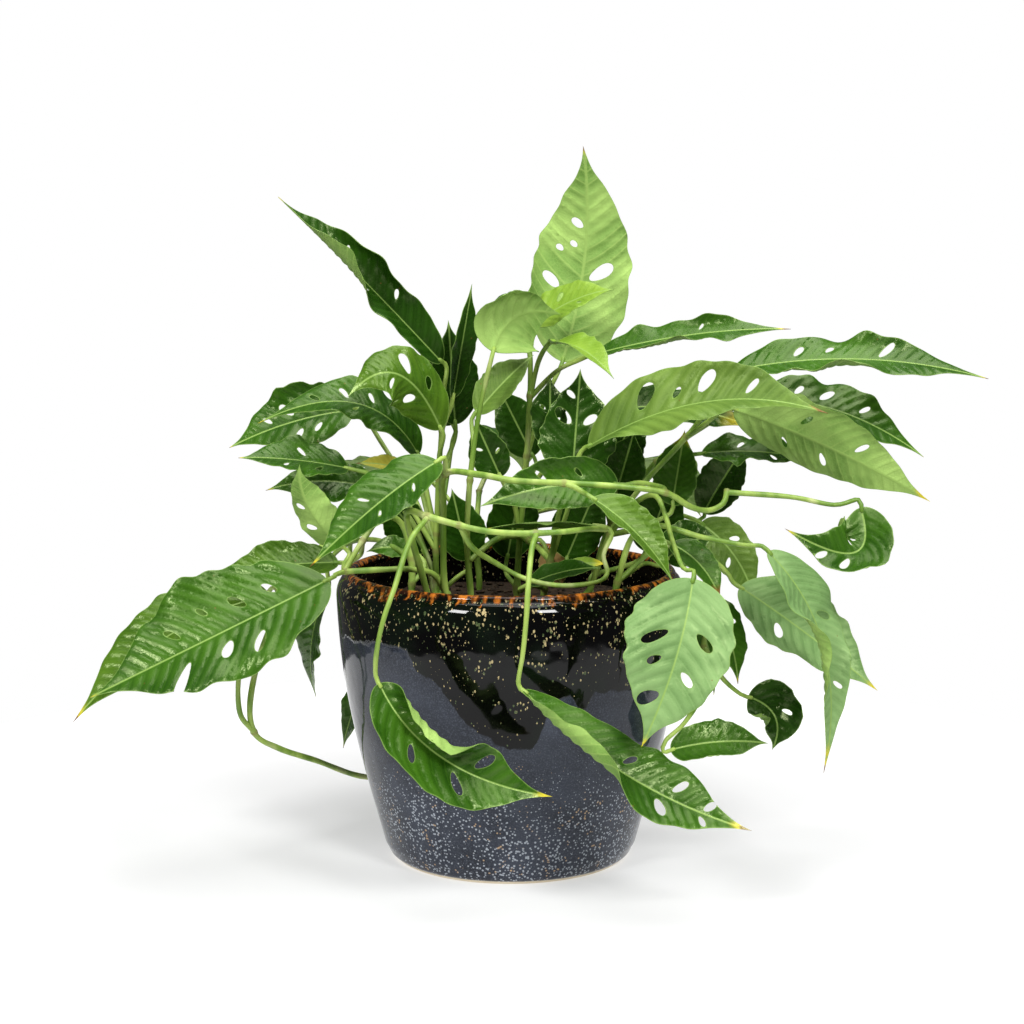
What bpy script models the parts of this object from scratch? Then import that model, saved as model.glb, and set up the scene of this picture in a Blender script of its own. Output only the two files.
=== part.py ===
"""Swiss cheese vine (Monstera adansonii) in a glazed pot.

Every size and place is in millimetres until a mesh is written. X runs to the
right, Y away from the viewer and Z up, with the origin under the pot's foot.
"""
import math

import bmesh
import bpy
from mathutils import Matrix, Vector
from mathutils.geometry import delaunay_2d_cdt

MM = 0.001
GAP = 0.3
MERGE = 0.0001

# Pot
POT_HEIGHT = 180.0
POT_RADIUS = 110.0
POT_FOOT_RADIUS = 74.0
POT_WALL = 6.0
POT_FLOOR = 9.0
POT_STEPS = 32
POT_FOOT_STEP = 2.0
POT_BULGE = 7.0
POT_BULGE_POWER = 1.15
SHOULDER_START = 164.0
SHOULDER_DEPTH = 14.0
FLOOR_FLAT = 60.0
FLOOR_CORNER = 14.0
FLOOR_CORNER_IN = 6.0
FLOOR_CORNER_RISE = 1.5
OUTER_HEIGHTS = (172, 164, 140, 105, 70, 35, 8)
INNER_HEIGHTS = (35, 70, 105, 140, 165)
RIM_ANGLES = (180, 135, 90, 45, 0)
FOOT_RING = ((76, 4.0), (73, 1.9), (72, 0), (0, 0))

# Soil
SOIL_EDGE_TOP = 154.0
SOIL_MOUND = 6.0
SOIL_TOP_RADII = (0, 45, 85)
SOIL_WALL_HEIGHTS = (152, 140, 105, 70, 35)
ROOT_START = 140
ROOT_COLLAR = 161
ROOT_TOP = 167
HOLE_SIDES = 8

# Leaves
BLADE_THICKNESS = 0.8
BLADE_ROOT_WIDTH = 1.3
BASE_POWER = 0.6
TIP_POWER = 1.2
SOFT_FOLD = 0.12
SIDE_SWAY = 0.9
OUTLINE_STEPS = 9
SMALL_OUTLINE_STEPS = 7
INNER_OUTLINE_STEPS = 5
SMALL_WIDTH = 32
WAVES = 2.2
HOLE_POINTS = 5
VEIN_SLANT = 52.0

# Stems
VINE_RADIUS = 2.1
STALK_RADIUS = 1.7
STALK_END_RADIUS = 1.3
VINE_TAPER = 0.8
ROUTE_STEP = 7.0
ROUTE_SLACK = 1.2
TUBE_SIDES = 5
TUBE_START_SIDE = (0.3, 0.5, 0.8)
STALK_LEAD = 5.0

# Holes in a blade: place along the midrib, place across as a share of the
# half-width with the sign of the side, then the length along the vein and the
# width as shares of the blade's greatest half-width
MANY_HOLES = (
    (0.24, 0.38, 0.41, 0.16), (0.40, 0.42, 0.53, 0.19), (0.57, 0.40, 0.41, 0.16), (0.72, 0.36, 0.22, 0.10),
    (0.28, -0.40, 0.44, 0.16), (0.45, -0.40, 0.50, 0.19), (0.62, -0.42, 0.34, 0.13),
)
SOME_HOLES = (
    (0.30, 0.42, 0.41, 0.16), (0.50, 0.42, 0.41, 0.16), (0.35, -0.42, 0.38, 0.16), (0.56, -0.40, 0.34, 0.13),
)
FEW_HOLES = (
    (0.40, 0.42, 0.34, 0.13), (0.52, -0.42, 0.31, 0.13),
)
HOLES = {
    "top_tall": (
        (0.64, 0.26, 0.28, 0.15), (0.54, 0.27, 0.17, 0.11), (0.52, 0.56, 0.17, 0.11),
        (0.36, 0.60, 0.42, 0.21), (0.42, -0.36, 0.52, 0.24),
    ),
    "upper_left": ((0.62, 0.45, 0.24, 0.10), (0.34, 0.50, 0.32, 0.13), (0.46, -0.40, 0.30, 0.12)),
    "ring_holes": (
        (0.44, 0.48, 0.66, 0.30), (0.56, -0.38, 0.43, 0.20), (0.28, -0.42, 0.45, 0.26),
        (0.24, 0.48, 0.36, 0.18),
    ),
    "left_arch": (
        (0.72, 0.38, 0.36, 0.16), (0.56, 0.40, 0.43, 0.18), (0.40, 0.42, 0.37, 0.15),
        (0.50, -0.40, 0.35, 0.14),
    ),
    "left_pale": (
        (0.50, 0.40, 0.42, 0.20), (0.30, 0.40, 0.34, 0.15), (0.46, -0.48, 0.34, 0.15),
        (0.66, 0.38, 0.26, 0.11), (0.30, -0.42, 0.36, 0.14),
    ),
    "left_second": ((0.42, 0.42, 0.39, 0.16), (0.28, -0.44, 0.38, 0.16), (0.58, -0.42, 0.28, 0.13)),
    "left_small": ((0.52, 0.46, 0.46, 0.22), (0.30, 0.48, 0.48, 0.24)),
    "mid_left": ((0.28, -0.42, 0.44, 0.09), (0.54, 0.42, 0.32, 0.09), (0.54, -0.42, 0.26, 0.09)),
    "big_left": (
        (0.22, 0.42, 0.28, 0.13), (0.36, 0.38, 0.32, 0.14), (0.64, 0.40, 0.29, 0.10),
        (0.48, -0.36, 0.34, 0.16), (0.36, -0.52, 0.42, 0.15), (0.68, -0.70, 0.72, 0.16),
        (0.50, 0.46, 0.20, 0.08),
    ),
    "behind_left": ((0.78, -0.42, 0.31, 0.15), (0.56, 0.38, 0.26, 0.11), (0.40, -0.42, 0.32, 0.12)),
    "front_left": ((0.68, -0.46, 0.50, 0.21), (0.60, 0.42, 0.56, 0.19), (0.36, 0.44, 0.46, 0.16)),
    "front_middle": (
        (0.70, -0.46, 0.46, 0.19), (0.83, -0.44, 0.36, 0.19), (0.66, 0.42, 0.50, 0.26),
        (0.82, 0.42, 0.30, 0.15), (0.48, -0.42, 0.40, 0.18), (0.46, 0.42, 0.42, 0.16),
    ),
    "front_right": (
        (0.40, 0.50, 0.56, 0.18), (0.36, -0.42, 0.40, 0.18), (0.53, 0.42, 0.29, 0.14),
        (0.58, -0.34, 0.31, 0.14), (0.74, 0.46, 0.42, 0.23),
    ),
    "cross_leaf": ((0.54, 0.44, 0.56, 0.13), (0.28, 0.42, 0.36, 0.14)),
    "long_keel": (
        (0.26, -0.52, 0.58, 0.28), (0.50, -0.50, 0.54, 0.25), (0.68, -0.44, 0.38, 0.13),
        (0.38, -0.38, 0.26, 0.13),
    ),
    "inner_tall": ((0.56, -0.42, 0.54, 0.28), (0.54, 0.40, 0.40, 0.20), (0.76, -0.40, 0.28, 0.14)),
    "inner_dark": ((0.40, 0.42, 0.36, 0.15), (0.58, -0.42, 0.34, 0.14)),
    "dark_holes": (
        (0.26, 0.46, 0.36, 0.17), (0.46, 0.46, 0.41, 0.19), (0.34, -0.44, 0.38, 0.17),
        (0.56, -0.42, 0.36, 0.17), (0.66, 0.40, 0.30, 0.14),
    ),
    "right_wave": ((0.64, 0.42, 0.44, 0.18), (0.34, -0.42, 0.41, 0.17)),
    "wavy_leaf": ((0.40, 0.42, 0.34, 0.13), (0.54, -0.42, 0.31, 0.13)),
    "right_lower": (
        (0.62, 0.44, 0.40, 0.13), (0.48, -0.42, 0.38, 0.14), (0.34, 0.42, 0.36, 0.13),
        (0.28, -0.42, 0.32, 0.12),
    ),
    "right_upper": (
        (0.40, -0.44, 0.52, 0.22), (0.24, -0.44, 0.34, 0.16), (0.62, -0.42, 0.34, 0.13),
        (0.46, 0.42, 0.36, 0.14),
    ),
    "far_right": (
        (0.26, -0.42, 0.41, 0.19), (0.38, -0.45, 0.34, 0.15), (0.60, -0.46, 0.62, 0.21),
        (0.52, 0.46, 0.38, 0.17),
    ),
    "curled_right": (
        (0.78, -0.42, 0.36, 0.15), (0.62, -0.42, 0.46, 0.18), (0.50, 0.42, 0.46, 0.19),
        (0.32, 0.44, 0.42, 0.17),
    ),
    "hanging_right": ((0.36, -0.42, 0.52, 0.25), (0.50, 0.42, 0.46, 0.20), (0.66, -0.42, 0.36, 0.15)),
    "right_olive": ((0.34, 0.46, 0.45, 0.22), (0.54, -0.44, 0.34, 0.14)),
    "right_hang": ((0.32, -0.44, 0.46, 0.22), (0.62, 0.42, 0.38, 0.17)),
    "right_grey": ((0.52, 0.44, 0.46, 0.20), (0.36, -0.44, 0.40, 0.18)),
    "low_right_dark": ((0.38, 0.42, 0.32, 0.14), (0.50, -0.42, 0.28, 0.12)),
    "bright_leaf": ((0.36, -0.44, 0.36, 0.18), (0.58, 0.42, 0.28, 0.13)),
    "back_left": SOME_HOLES,
    "back_middle": SOME_HOLES,
    "back_right": SOME_HOLES,
    "back_low_left": FEW_HOLES,
    "back_low_right": SOME_HOLES,
    "inner_mid": FEW_HOLES,
}

# Leaf blades: base, tip, bow of the midrib's middle, side that faces the light,
# width, place of the widest point, turn from base to tip, fold along the
# midrib, wave of the margin
LEAVES = {
    "top_tall": ((32, 18, 306), (45, 40, 438), (8, 8, 0), (0.1, 1, 0.1),
                 66, 0.36, 0, 12, 2),
    "upper_left": ((-42, 0, 307), (-137, -30, 407), (0, -4, 2), (0.5, -0.6, 0.6),
                   42, 0.5, 60, 35, 3),
    "ring_holes": ((-42, -20, 268), (-96, -50, 290), (2, -6, 24), (0, -0.85, 0.5),
                   40, 0.4, 0, -10, 2),
    "left_arch": ((-57, 10, 249), (-153, -15, 271), (10, 0, 22), (0, -0.5, 0.87),
                  40, 0.45, 0, 15, 3),
    "left_pale": ((-100, 45, 273), (-176, 30, 251), (0, 0, 4), (0, -0.7, 0.7),
                  50, 0.36, 0, 12, 2),
    "left_second": ((-100, 5, 241), (-165, -15, 250), (0, 0, 2), (0, -0.5, 0.87),
                    38, 0.4, 0, 12, 2),
    "left_dark": ((-86, 20, 227), (-152, 15, 226), (0, 0, 5), (0, -0.7, 0.7),
                  34, 0.36, 0, 12, 2),
    "left_small": ((-100, -42, 199), (-125, -45, 250), (-8, 0, 0), (0.2, 0.95, 0.2),
                   28, 0.36, 0, 20, 2),
    "mid_left": ((-42, -74, 255), (-114, -112, 199), (2, -4, 6), (-0.35, -0.75, 0.6),
                 42, 0.4, 0, 15, 2),
    "big_left": ((-107, -74, 185), (-240, -115, 124), (3, -5, 2), (-0.25, -0.75, 0.6),
                 76, 0.48, 0, 10, 3),
    "behind_left": ((-147, -20, 166), (-259, -70, 99), (-4, 2, 12), (-0.3, -0.7, 0.65),
                    56, 0.4, 0, 12, 2),
    "left_shelf": ((-104, -30, 188), (-183, -45, 179), (0, 0, 3), (0, -0.5, 0.87),
                   38, 0.4, 0, 12, 2),
    "pot_left": ((-116, 25, 160), (-125, 45, 88), (-6, 0, 0), (-0.8, -0.5, 0.2),
                 36, 0.36, 0, 15, 2),
    "low_left": ((-93, 77, 95), (-111, 87, 44), (-2, 2, 0), (-0.7, -0.6, 0.2),
                 26, 0.36, 0, 12, 1),
    "front_left": ((-74, -128, 135), (24, -142, 73), (-12, -5, -10), (0.2, -0.9, 0.4),
                   54, 0.5, 10, 25, 2),
    "front_middle": ((8, -128, 131), (135, -155, 57), (-6, -3, -8), (0.2, -0.65, 0.75),
                     46, 0.58, 40, 15, 2),
    "front_right": ((103, -122, 194), (73, -152, 104), (4, -6, 2), (0.1, -0.95, 0.25),
                    64, 0.4, 0, 12, 2),
    "cross_leaf": ((63, -62, 240), (-18, -86, 230), (0, 0, 5), (0, -0.9, 0.45),
                   36, 0.4, 0, 15, 1),
    "slant_leaf": ((47, -101, 237), (92, -122, 192), (3, -2, 3), (0.4, -0.5, 0.8),
                   34, 0.4, 0, 28, 1),
    "cup_leaf": ((-10, -50, 317), (30, -34, 338), (-6, 8, 9), (0, 1, 0.3),
                 50, 0.36, 0, -10, 2),
    "bright_leaf": ((14, -4, 330), (62, -20, 352), (0, 0, 4), (0, -0.6, 0.8),
                    34, 0.36, 0, 15, 1),
    "point_leaf": ((26, -20, 320), (60, -74, 303), (0, 0, 6), (0.2, -0.5, 0.85),
                   26, 0.36, 0, 25, 1),
    "blue_leaf": ((-20, -30, 279), (14, -22, 313), (0, -2, 2), (-0.3, -0.8, 0.5),
                  26, 0.4, 0, 15, 1),
    "wavy_leaf": ((53, -10, 313), (167, -30, 329), (0, 0, 4), (0.1, -0.55, 0.85),
                  28, 0.45, 0, 15, 3),
    "far_right": ((132, -40, 305), (279, -62, 302), (0, 0, 9), (0, -0.5, 0.87),
                  42, 0.42, 0, 12, 4),
    "long_keel": ((46, -52, 261), (180, -105, 286), (0, -5, 17), (0, -0.6, 0.8),
                  58, 0.42, 0, 35, 2),
    "inner_tall": ((37, -35, 240), (42, -25, 305), (0, 0, 0), (0.1, -0.95, 0.2),
                   48, 0.36, 0, 12, 2),
    "inner_dark": ((24, -24, 256), (24, -18, 300), (0, 0, 0), (-0.2, -0.95, 0.2),
                   24, 0.5, 0, 12, 1),
    "dark_holes": ((66, -18, 280), (149, -25, 268), (0, 2, 6), (0, -0.6, 0.8),
                   36, 0.4, 0, 12, 2),
    "right_upper": ((150, -12, 285), (250, -20, 251), (0, 0, 10), (0.1, -0.6, 0.8),
                    46, 0.42, 0, 12, 3),
    "right_lower": ((132, -50, 283), (245, -72, 231), (0, -2, 4), (0, 0.9, 0.3),
                    46, 0.4, 0, 10, 2),
    "right_wave": ((116, -18, 253), (183, -28, 250), (0, 0, 3), (0, -0.5, 0.87),
                   30, 0.45, 0, 12, 3),
    "upright_right": ((98, -22, 222), (105, -24, 268), (0, 0, 0), (-0.3, -0.9, 0.1),
                      30, 0.4, 0, 15, 1),
    "curled_right": ((206, -62, 226), (159, -84, 217), (18, -3, -20), (-0.3, -0.8, 0.5),
                     44, 0.45, 0, 15, 2),
    "hanging_right": ((149, -90, 204), (181, -108, 78), (16, 0, 8), (0.5, -0.6, 0.5),
                      38, 0.34, 0, 15, 2),
    "right_olive": ((139, -30, 173), (220, -52, 114), (0, 0, 2), (0.3, -0.8, 0.5),
                    50, 0.42, 0, 12, 2),
    "right_grey": ((117, -4, 208), (150, -12, 161), (4, 0, 4), (0.3, -0.9, 0.2),
                   32, 0.4, 0, 12, 1),
    "right_hang": ((122, -26, 165), (138, -36, 114), (3, 0, 2), (0.5, -0.8, 0.1),
                   26, 0.4, 0, 12, 1),
    "right_behind": ((113, 18, 150), (128, 14, 96), (4, 0, 2), (0.7, -0.7, 0.1),
                     32, 0.36, 0, 12, 1),
    "brown_tip": ((95, -60, 204), (123, -82, 173), (3, 0, 4), (0.3, -0.6, 0.6),
                  24, 0.36, 0, 15, 1),
    "low_right_dark": ((146, -20, 103), (160, -30, 72), (9, 0, 4), (0.3, -0.9, 0.2),
                       42, 0.42, 0, 12, 2),
    "low_right_pale": ((97, -46, 76), (154, -62, 84), (0, 0, 3), (0, -0.8, 0.5),
                       30, 0.45, 0, 12, 1),
    "dark_upright": ((-35, -8, 286), (-23, -14, 355), (0, 0, 0), (0.6, -0.7, 0.2),
                     20, 0.5, 0, 25, 1),
    "yellow_leaf": ((-62, 24, 236), (-96, 14, 243), (0, 0, 2), (0, -0.7, 0.7),
                    16, 0.4, 0, 25, 1),
    "low_inner": ((51, -60, 215), (-14, -66, 214), (0, 0, 3), (0, -0.3, -0.95),
                  24, 0.4, 0, 12, 1),
    "back_left": ((-60, 80, 230), (-120, 150, 200), (0, 6, 12), (-0.3, 0.5, 0.8),
                  58, 0.36, 0, 12, 2),
    "back_middle": ((0, 90, 250), (10, 170, 215), (0, 6, 14), (0, 0.5, 0.87),
                    54, 0.36, 0, 12, 2),
    "back_right": ((70, 80, 235), (130, 150, 190), (0, 6, 12), (0.3, 0.5, 0.8),
                   58, 0.36, 0, 12, 2),
    "back_low_left": ((-50, 125, 170), (-70, 158, 90), (0, 10, 4), (-0.2, 0.95, 0.3),
                      54, 0.36, 0, 12, 2),
    "back_low_right": ((60, 120, 165), (80, 152, 80), (0, 10, 4), (0.2, 0.95, 0.3),
                       54, 0.36, 0, 12, 2),
}

# Small blades deep in the plant, joined to the stem that bears them
INNER_LEAVES = {
    "inner_left": ((-34, 8, 268), (-38, 10, 332), (0, 0, 0), (0.2, -0.95, 0.2),
                   32, 0.42, 0, 12, 1),
    "inner_mid": ((-6, -12, 238), (-22, -14, 274), (0, 0, 0), (-0.2, -0.95, 0.2),
                  26, 0.4, 0, 12, 1),
    "inner_right": ((64, 0, 222), (76, -2, 266), (0, 0, 0), (-0.1, -0.95, 0.2),
                    32, 0.42, 0, 12, 1),
    "deep_right": ((34, -8, 186), (56, -16, 240), (0, 0, 0), (-0.1, -0.95, 0.2),
                   34, 0.4, 0, 12, 1),
    "deep_far_right": ((83, 2, 190), (101, -6, 240), (0, 0, 0), (-0.1, -0.95, 0.2),
                       34, 0.4, 0, 12, 1),
    "deep_left": ((-26, 4, 184), (-36, -4, 230), (0, 0, 0), (0.1, -0.95, 0.2),
                  30, 0.4, 0, 12, 1),
    "deep_far_left": ((-54, 20, 186), (-80, 10, 224), (0, 0, 4), (-0.2, -0.9, 0.3),
                      30, 0.4, 0, 12, 1),
    "under_front": ((10, -52, 178), (54, -62, 190), (0, 0, 3), (0, -0.4, 0.9),
                    24, 0.4, 0, 12, 1),
    "high_right": ((62, 24, 238), (82, 18, 284), (0, 0, 0), (-0.2, -0.95, 0.2),
                   34, 0.4, 0, 12, 1),
    "high_middle": ((14, 26, 246), (-8, 30, 290), (0, 0, 0), (0.1, -0.95, 0.2),
                    32, 0.4, 0, 12, 1),
    "low_right_inner": ((94, -28, 189), (124, -36, 205), (0, 0, 4), (0.1, -0.85, 0.5),
                        30, 0.4, 0, 12, 1),
    "deep_middle": ((-2, 26, 182), (8, 20, 238), (0, 0, 0), (0.1, -0.95, 0.2),
                    34, 0.4, 0, 12, 1),
    "high_left": ((-36, 26, 266), (-56, 22, 312), (0, 0, 0), (-0.1, -0.95, 0.2),
                  28, 0.4, 0, 12, 1),
    "far_right_inner": ((120, 14, 212), (146, 6, 256), (0, 0, 2), (0.1, -0.9, 0.3),
                        30, 0.4, 0, 12, 1),
    "dry_leaf": ((22, -22, 194), (32, -26, 171), (0, 0, 0), (-0.3, -0.9, 0.2),
                 20, 0.45, 0, 20, 1),
    "yellow_tip": ((35, -40, 188), (58, -42, 189), (0, 0, 1), (0, -0.8, 0.6),
                   9, 0.4, 0, 15, 0),
    "rim_leaf": ((-60, -18, 192), (-88, -14, 192), (0, 0, 3), (0, -0.8, 0.6),
                 16, 0.4, 0, 15, 1),
}

# Stems. Each node is a list of runs that cross or meet each other: the points
# of the run, then the leaf that it carries or None. A run that starts in the
# soil is a vine, and the others are leaf stalks or side vines.
STEMS = {
    "trailing": (
        (((-48, -52, 140), (-50, -54, 176), (-56, -62, 200), (-60, -76, 220), (-58, -88, 228),
          (-47, -98, 226), (-29, -105, 222), (-13, -108, 219), (8, -110, 218), (29, -104, 218),
          (46, -92, 218), (56, -80, 216)), None),
        (((-47, -98, 226), (-57, -118, 214), (-65, -129, 190), (-71, -133, 173), (-75, -132, 155)),
         "front_left"),
        (((15, -109, 218), (12, -122, 210), (10, -132, 190), (9, -133, 173), (7, -131, 152)), "front_middle"),
        (((-29, -105, 222), (-22, -96, 208), (-9, -84, 197), (9, -82, 187), (30, -82, 183), (50, -76, 184),
          (57, -68, 188), (55, -62, 198), (60, -60, 210)), "low_inner"),
    ),
    "cross": (
        (((-38, -34, 140), (-40, -36, 180), (-40, -44, 222), (-38, -62, 246), (-17, -82, 248), (2, -92, 246),
          (31, -96, 245), (63, -96, 243), (89, -92, 239), (104, -86, 230), (115, -80, 227), (124, -73, 230),
          (127, -67, 237)), None),
        (((-38, -62, 246), (-38, -68, 251)), "mid_left"),
        (((126, -68, 236), (164, -66, 233), (190, -64, 228)), "curled_right"),
        (((89, -92, 239), (88, -76, 240), (76, -63, 241)), "cross_leaf"),
        (((31, -96, 245), (37, -99, 243), (42, -100, 240)), "slant_leaf"),
    ),
    "left": (
        (((-60, -26, 140), (-60, -26, 190), (-66, -28, 212), (-78, -36, 216), (-88, -48, 204),
          (-98, -62, 188)), None),
        (((-38, -20, 140), (-38, -24, 166), (-46, -38, 182), (-60, -48, 187), (-78, -56, 188),
          (-98, -62, 188)), None),
        (((-98, -62, 188), (-103, -68, 187)), "big_left"),
        (((-98, -62, 188), (-99, -50, 190)), "left_small"),
        (((-88, -48, 204), (-90, -38, 194), (-97, -32, 189)), "left_shelf"),
        (((-60, -26, 190), (-80, -8, 198), (-100, 8, 194), (-114, 18, 180)), "pot_left"),
        (((-60, -26, 174), (-52, -22, 184)), "rim_leaf"),
    ),
    "upper_left": (
        (((-46, 6, 140), (-46, 4, 190), (-44, -2, 235), (-42, -4, 266), (-41, -2, 287)), "upper_left"),
        (((-44, -2, 235), (-43, -10, 252)), "ring_holes"),
        (((-46, 4, 200), (-52, 8, 228)), "left_arch"),
        (((-46, 4, 190), (-62, 20, 225), (-82, 36, 255)), "left_pale"),
        (((-46, 4, 190), (-66, 6, 222), (-84, 6, 236)), "left_second"),
        (((-46, 5, 172), (-60, 12, 205), (-74, 18, 220)), "left_dark"),
        (((-46, 4, 190), (-54, 18, 220)), "yellow_leaf"),
        (((-42, -4, 266), (-38, -6, 276)), "dark_upright"),
        (((-44, -2, 235), (-36, 6, 254)), "inner_left"),
        (((-46, 4, 190), (-40, 16, 230), (-36, 25, 256)), "high_left"),
        (((-46, 6, 160), (-50, 14, 172)), "deep_far_left"),
        (((-46, 6, 160), (-34, 6, 172)), "deep_left"),
    ),
    "centre": (
        (((4, 4, 140), (6, 2, 200), (10, -6, 250), (12, -9, 290)), None),
        (((-24, -24, 140), (-26, -34, 200), (-24, -44, 240), (-18, -48, 283)), "cup_leaf"),
        (((6, 2, 200), (-8, -14, 200), (-24, -32, 190)), None),
        (((12, -9, 286), (12, -8, 310)), "bright_leaf"),
        (((12, -9, 286), (17, -10, 308)), "point_leaf"),
        (((10, -6, 250), (20, 8, 280)), "top_tall"),
        (((-24, -44, 240), (-22, -36, 260)), "blue_leaf"),
        (((12, -9, 286), (28, -8, 302), (42, -8, 309)), "wavy_leaf"),
        (((20, -28, 140), (24, -36, 190), (30, -45, 225), (37, -48, 246)), "long_keel"),
        (((6, 2, 200), (16, -16, 196), (24, -36, 190)), None),
        (((24, -36, 190), (34, -36, 220)), "inner_tall"),
        (((8, -2, 225), (20, -16, 242)), "inner_dark"),
        (((6, 2, 200), (2, -4, 222)), "inner_mid"),
        (((12, -8, 198), (18, -18, 200)), "dry_leaf"),
        (((24, -36, 184), (28, -38, 186)), "yellow_tip"),
        (((6, 2, 165), (20, -4, 174)), "deep_right"),
        (((6, 2, 165), (-2, 18, 172)), "deep_middle"),
        (((8, -2, 225), (12, 14, 234)), "high_middle"),
        (((21, -30, 172), (14, -42, 176)), "under_front"),
    ),
    "right": (
        (((44, -24, 140), (48, -25, 170), (60, -30, 205), (78, -33, 234), (105, -36, 265), (118, -38, 284)),
         "far_right"),
        (((105, -36, 265), (118, -46, 276)), "right_lower"),
        (((50, 8, 140), (54, 8, 180), (62, 8, 205), (90, 6, 245), (125, -2, 272)), "right_upper"),
        (((54, 8, 175), (50, -8, 175), (49, -25, 172)), None),
        (((60, -30, 205), (82, -24, 210)), "upright_right"),
        (((62, 8, 205), (63, 4, 214)), "inner_right"),
        (((62, 8, 205), (62, 18, 224)), "high_right"),
        (((54, 8, 175), (72, 6, 180)), "deep_far_right"),
        (((62, 8, 205), (92, 12, 204)), "far_right_inner"),
        (((62, 8, 205), (54, -8, 250)), "dark_holes"),
        (((90, 6, 245), (104, -8, 251)), "right_wave"),
        (((60, -30, 205), (74, -44, 226), (85, -60, 233), (90, -80, 224), (93, -94, 212), (98, -114, 199)),
         "front_right"),
        (((60, -30, 205), (78, -46, 210)), "brown_tip"),
        (((62, 8, 205), (92, 4, 214)), "right_grey"),
    ),
    "hanging_right": (
        (((62, -46, 140), (64, -50, 180), (72, -58, 208), (86, -72, 217), (111, -84, 212), (134, -88, 208)),
         "hanging_right"),
        (((64, -50, 180), (90, -42, 200), (115, -36, 195), (130, -32, 183)), "right_olive"),
        (((115, -36, 195), (121, -28, 182)), "right_hang"),
        (((64, -50, 180), (80, -34, 188)), "low_right_inner"),
        (((90, -42, 200), (104, -10, 196), (118, 6, 186), (122, 6, 160), (120, 0, 130),
          (121, -6, 120)), None),
        (((120, 0, 130), (130, -14, 114)), "low_right_dark"),
        (((120, 0, 130), (117, -16, 104), (106, -34, 90), (94, -43, 81)), "low_right_pale"),
        (((104, -10, 196), (112, 12, 186), (115, 18, 170)), "right_behind"),
    ),
    "back": (
        (((-20, 44, 140), (-22, 46, 190), (-20, 60, 220)), None),
        (((-22, 46, 190), (-40, 58, 215)), "back_left"),
        (((-20, 60, 220), (-10, 76, 240)), "back_middle"),
        (((-22, 46, 190), (10, 56, 205), (45, 68, 222)), "back_right"),
        (((-22, 46, 190), (-30, 80, 200), (-44, 110, 190)), "back_low_left"),
        (((10, 56, 205), (35, 84, 205), (52, 108, 188)), "back_low_right"),
        (((-22, 46, 190), (-60, 46, 200), (-96, 50, 200), (-124, 40, 182), (-150, 14, 140), (-160, -10, 104),
          (-160, 0, 76), (-146, 14, 62), (-124, 30, 50), (-96, 66, 30), (-60, 96, 22)), None),
        (((-160, 0, 76), (-167, -14, 92), (-166, -18, 120), (-158, -8, 150), (-147, -6, 168)), "behind_left"),
        (((-96, 50, 200), (-104, 70, 180), (-98, 78, 130)), "low_left"),
    ),
}

# Colours
GLAZE = (0.02, 0.024, 0.035, 1)
EARTH = (0.05, 0.035, 0.025, 1)
STEM_GREEN = (0.28, 0.42, 0.12, 1)
LEAF_GREEN = (0.06, 0.2, 0.03, 1)


def clear_scene():
    """Take out whatever the scene holds."""
    for item in list(bpy.data.objects):
        bpy.data.objects.remove(item)


def new_collection(name):
    group = bpy.data.collections.new(name)
    bpy.context.scene.collection.children.link(group)
    return group


def new_material(name, colour, roughness):
    material = bpy.data.materials.new(name)
    material.use_nodes = True
    shader = material.node_tree.nodes["Principled BSDF"]
    shader.inputs["Base Color"].default_value = colour
    shader.inputs["Roughness"].default_value = roughness
    shader.inputs["Metallic"].default_value = 0.0
    return material


def mesh_from(name, points, edges, faces):
    """A mesh whose points are given in millimetres."""
    mesh = bpy.data.meshes.new(name)
    mesh.from_pydata([Vector(point) * MM for point in points], edges, faces)
    mesh.update()
    return mesh


def add_object(name, data, group, material):
    item = bpy.data.objects.new(name, data)
    group.objects.link(item)
    if material:
        data.materials.append(material)
    return item


def turn_profile(item, steps):
    """Turn an object's open profile round the Z axis."""
    screw = item.modifiers.new("turn", "SCREW")
    screw.axis = "Z"
    screw.steps = steps
    screw.render_steps = steps
    screw.use_merge_vertices = True
    screw.merge_threshold = MERGE
    screw.use_smooth_shade = True


def pot_outer_radius(height):
    """The pot's outer radius: a wall that widens, then a shoulder that turns in to the lip."""
    share = height / POT_HEIGHT
    bulge = POT_BULGE * math.sin(math.pi * share ** POT_BULGE_POWER)
    rise = max(0.0, height - SHOULDER_START) / (POT_HEIGHT - SHOULDER_START)
    shoulder = SHOULDER_DEPTH * (1 - math.sqrt(1 - rise ** 2))
    foot = POT_FOOT_RADIUS + POT_FOOT_STEP
    return foot + (POT_RADIUS - POT_FOOT_STEP - foot) * share + bulge - shoulder


def inner_corner(gap):
    """Where the inside of the pot turns from its floor to its wall."""
    radius = pot_outer_radius(FLOOR_CORNER) - POT_WALL - FLOOR_CORNER_IN - gap
    return (radius, POT_FLOOR + FLOOR_CORNER_RISE + gap)


def build_pot(group, material):
    top = POT_HEIGHT
    lip = POT_WALL / 2
    outer = [(pot_outer_radius(height), height) for height in OUTER_HEIGHTS]
    lip_centre = pot_outer_radius(top - lip) - lip
    rim = [
        (lip_centre + lip * math.cos(angle), top - lip + lip * math.sin(angle))
        for angle in (math.radians(degrees) for degrees in RIM_ANGLES)
    ]
    inner = [(pot_outer_radius(height) - POT_WALL, height) for height in INNER_HEIGHTS]
    floor = [(0, POT_FLOOR), (FLOOR_FLAT, POT_FLOOR), inner_corner(0)]
    profile = floor + inner + rim + outer + list(FOOT_RING)
    points = [(radius, 0, height) for radius, height in profile]
    edges = [(index, index + 1) for index in range(len(points) - 1)]
    pot = add_object("pot", mesh_from("pot", points, edges, []), group, material)
    turn_profile(pot, POT_STEPS)
    return pot


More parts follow.
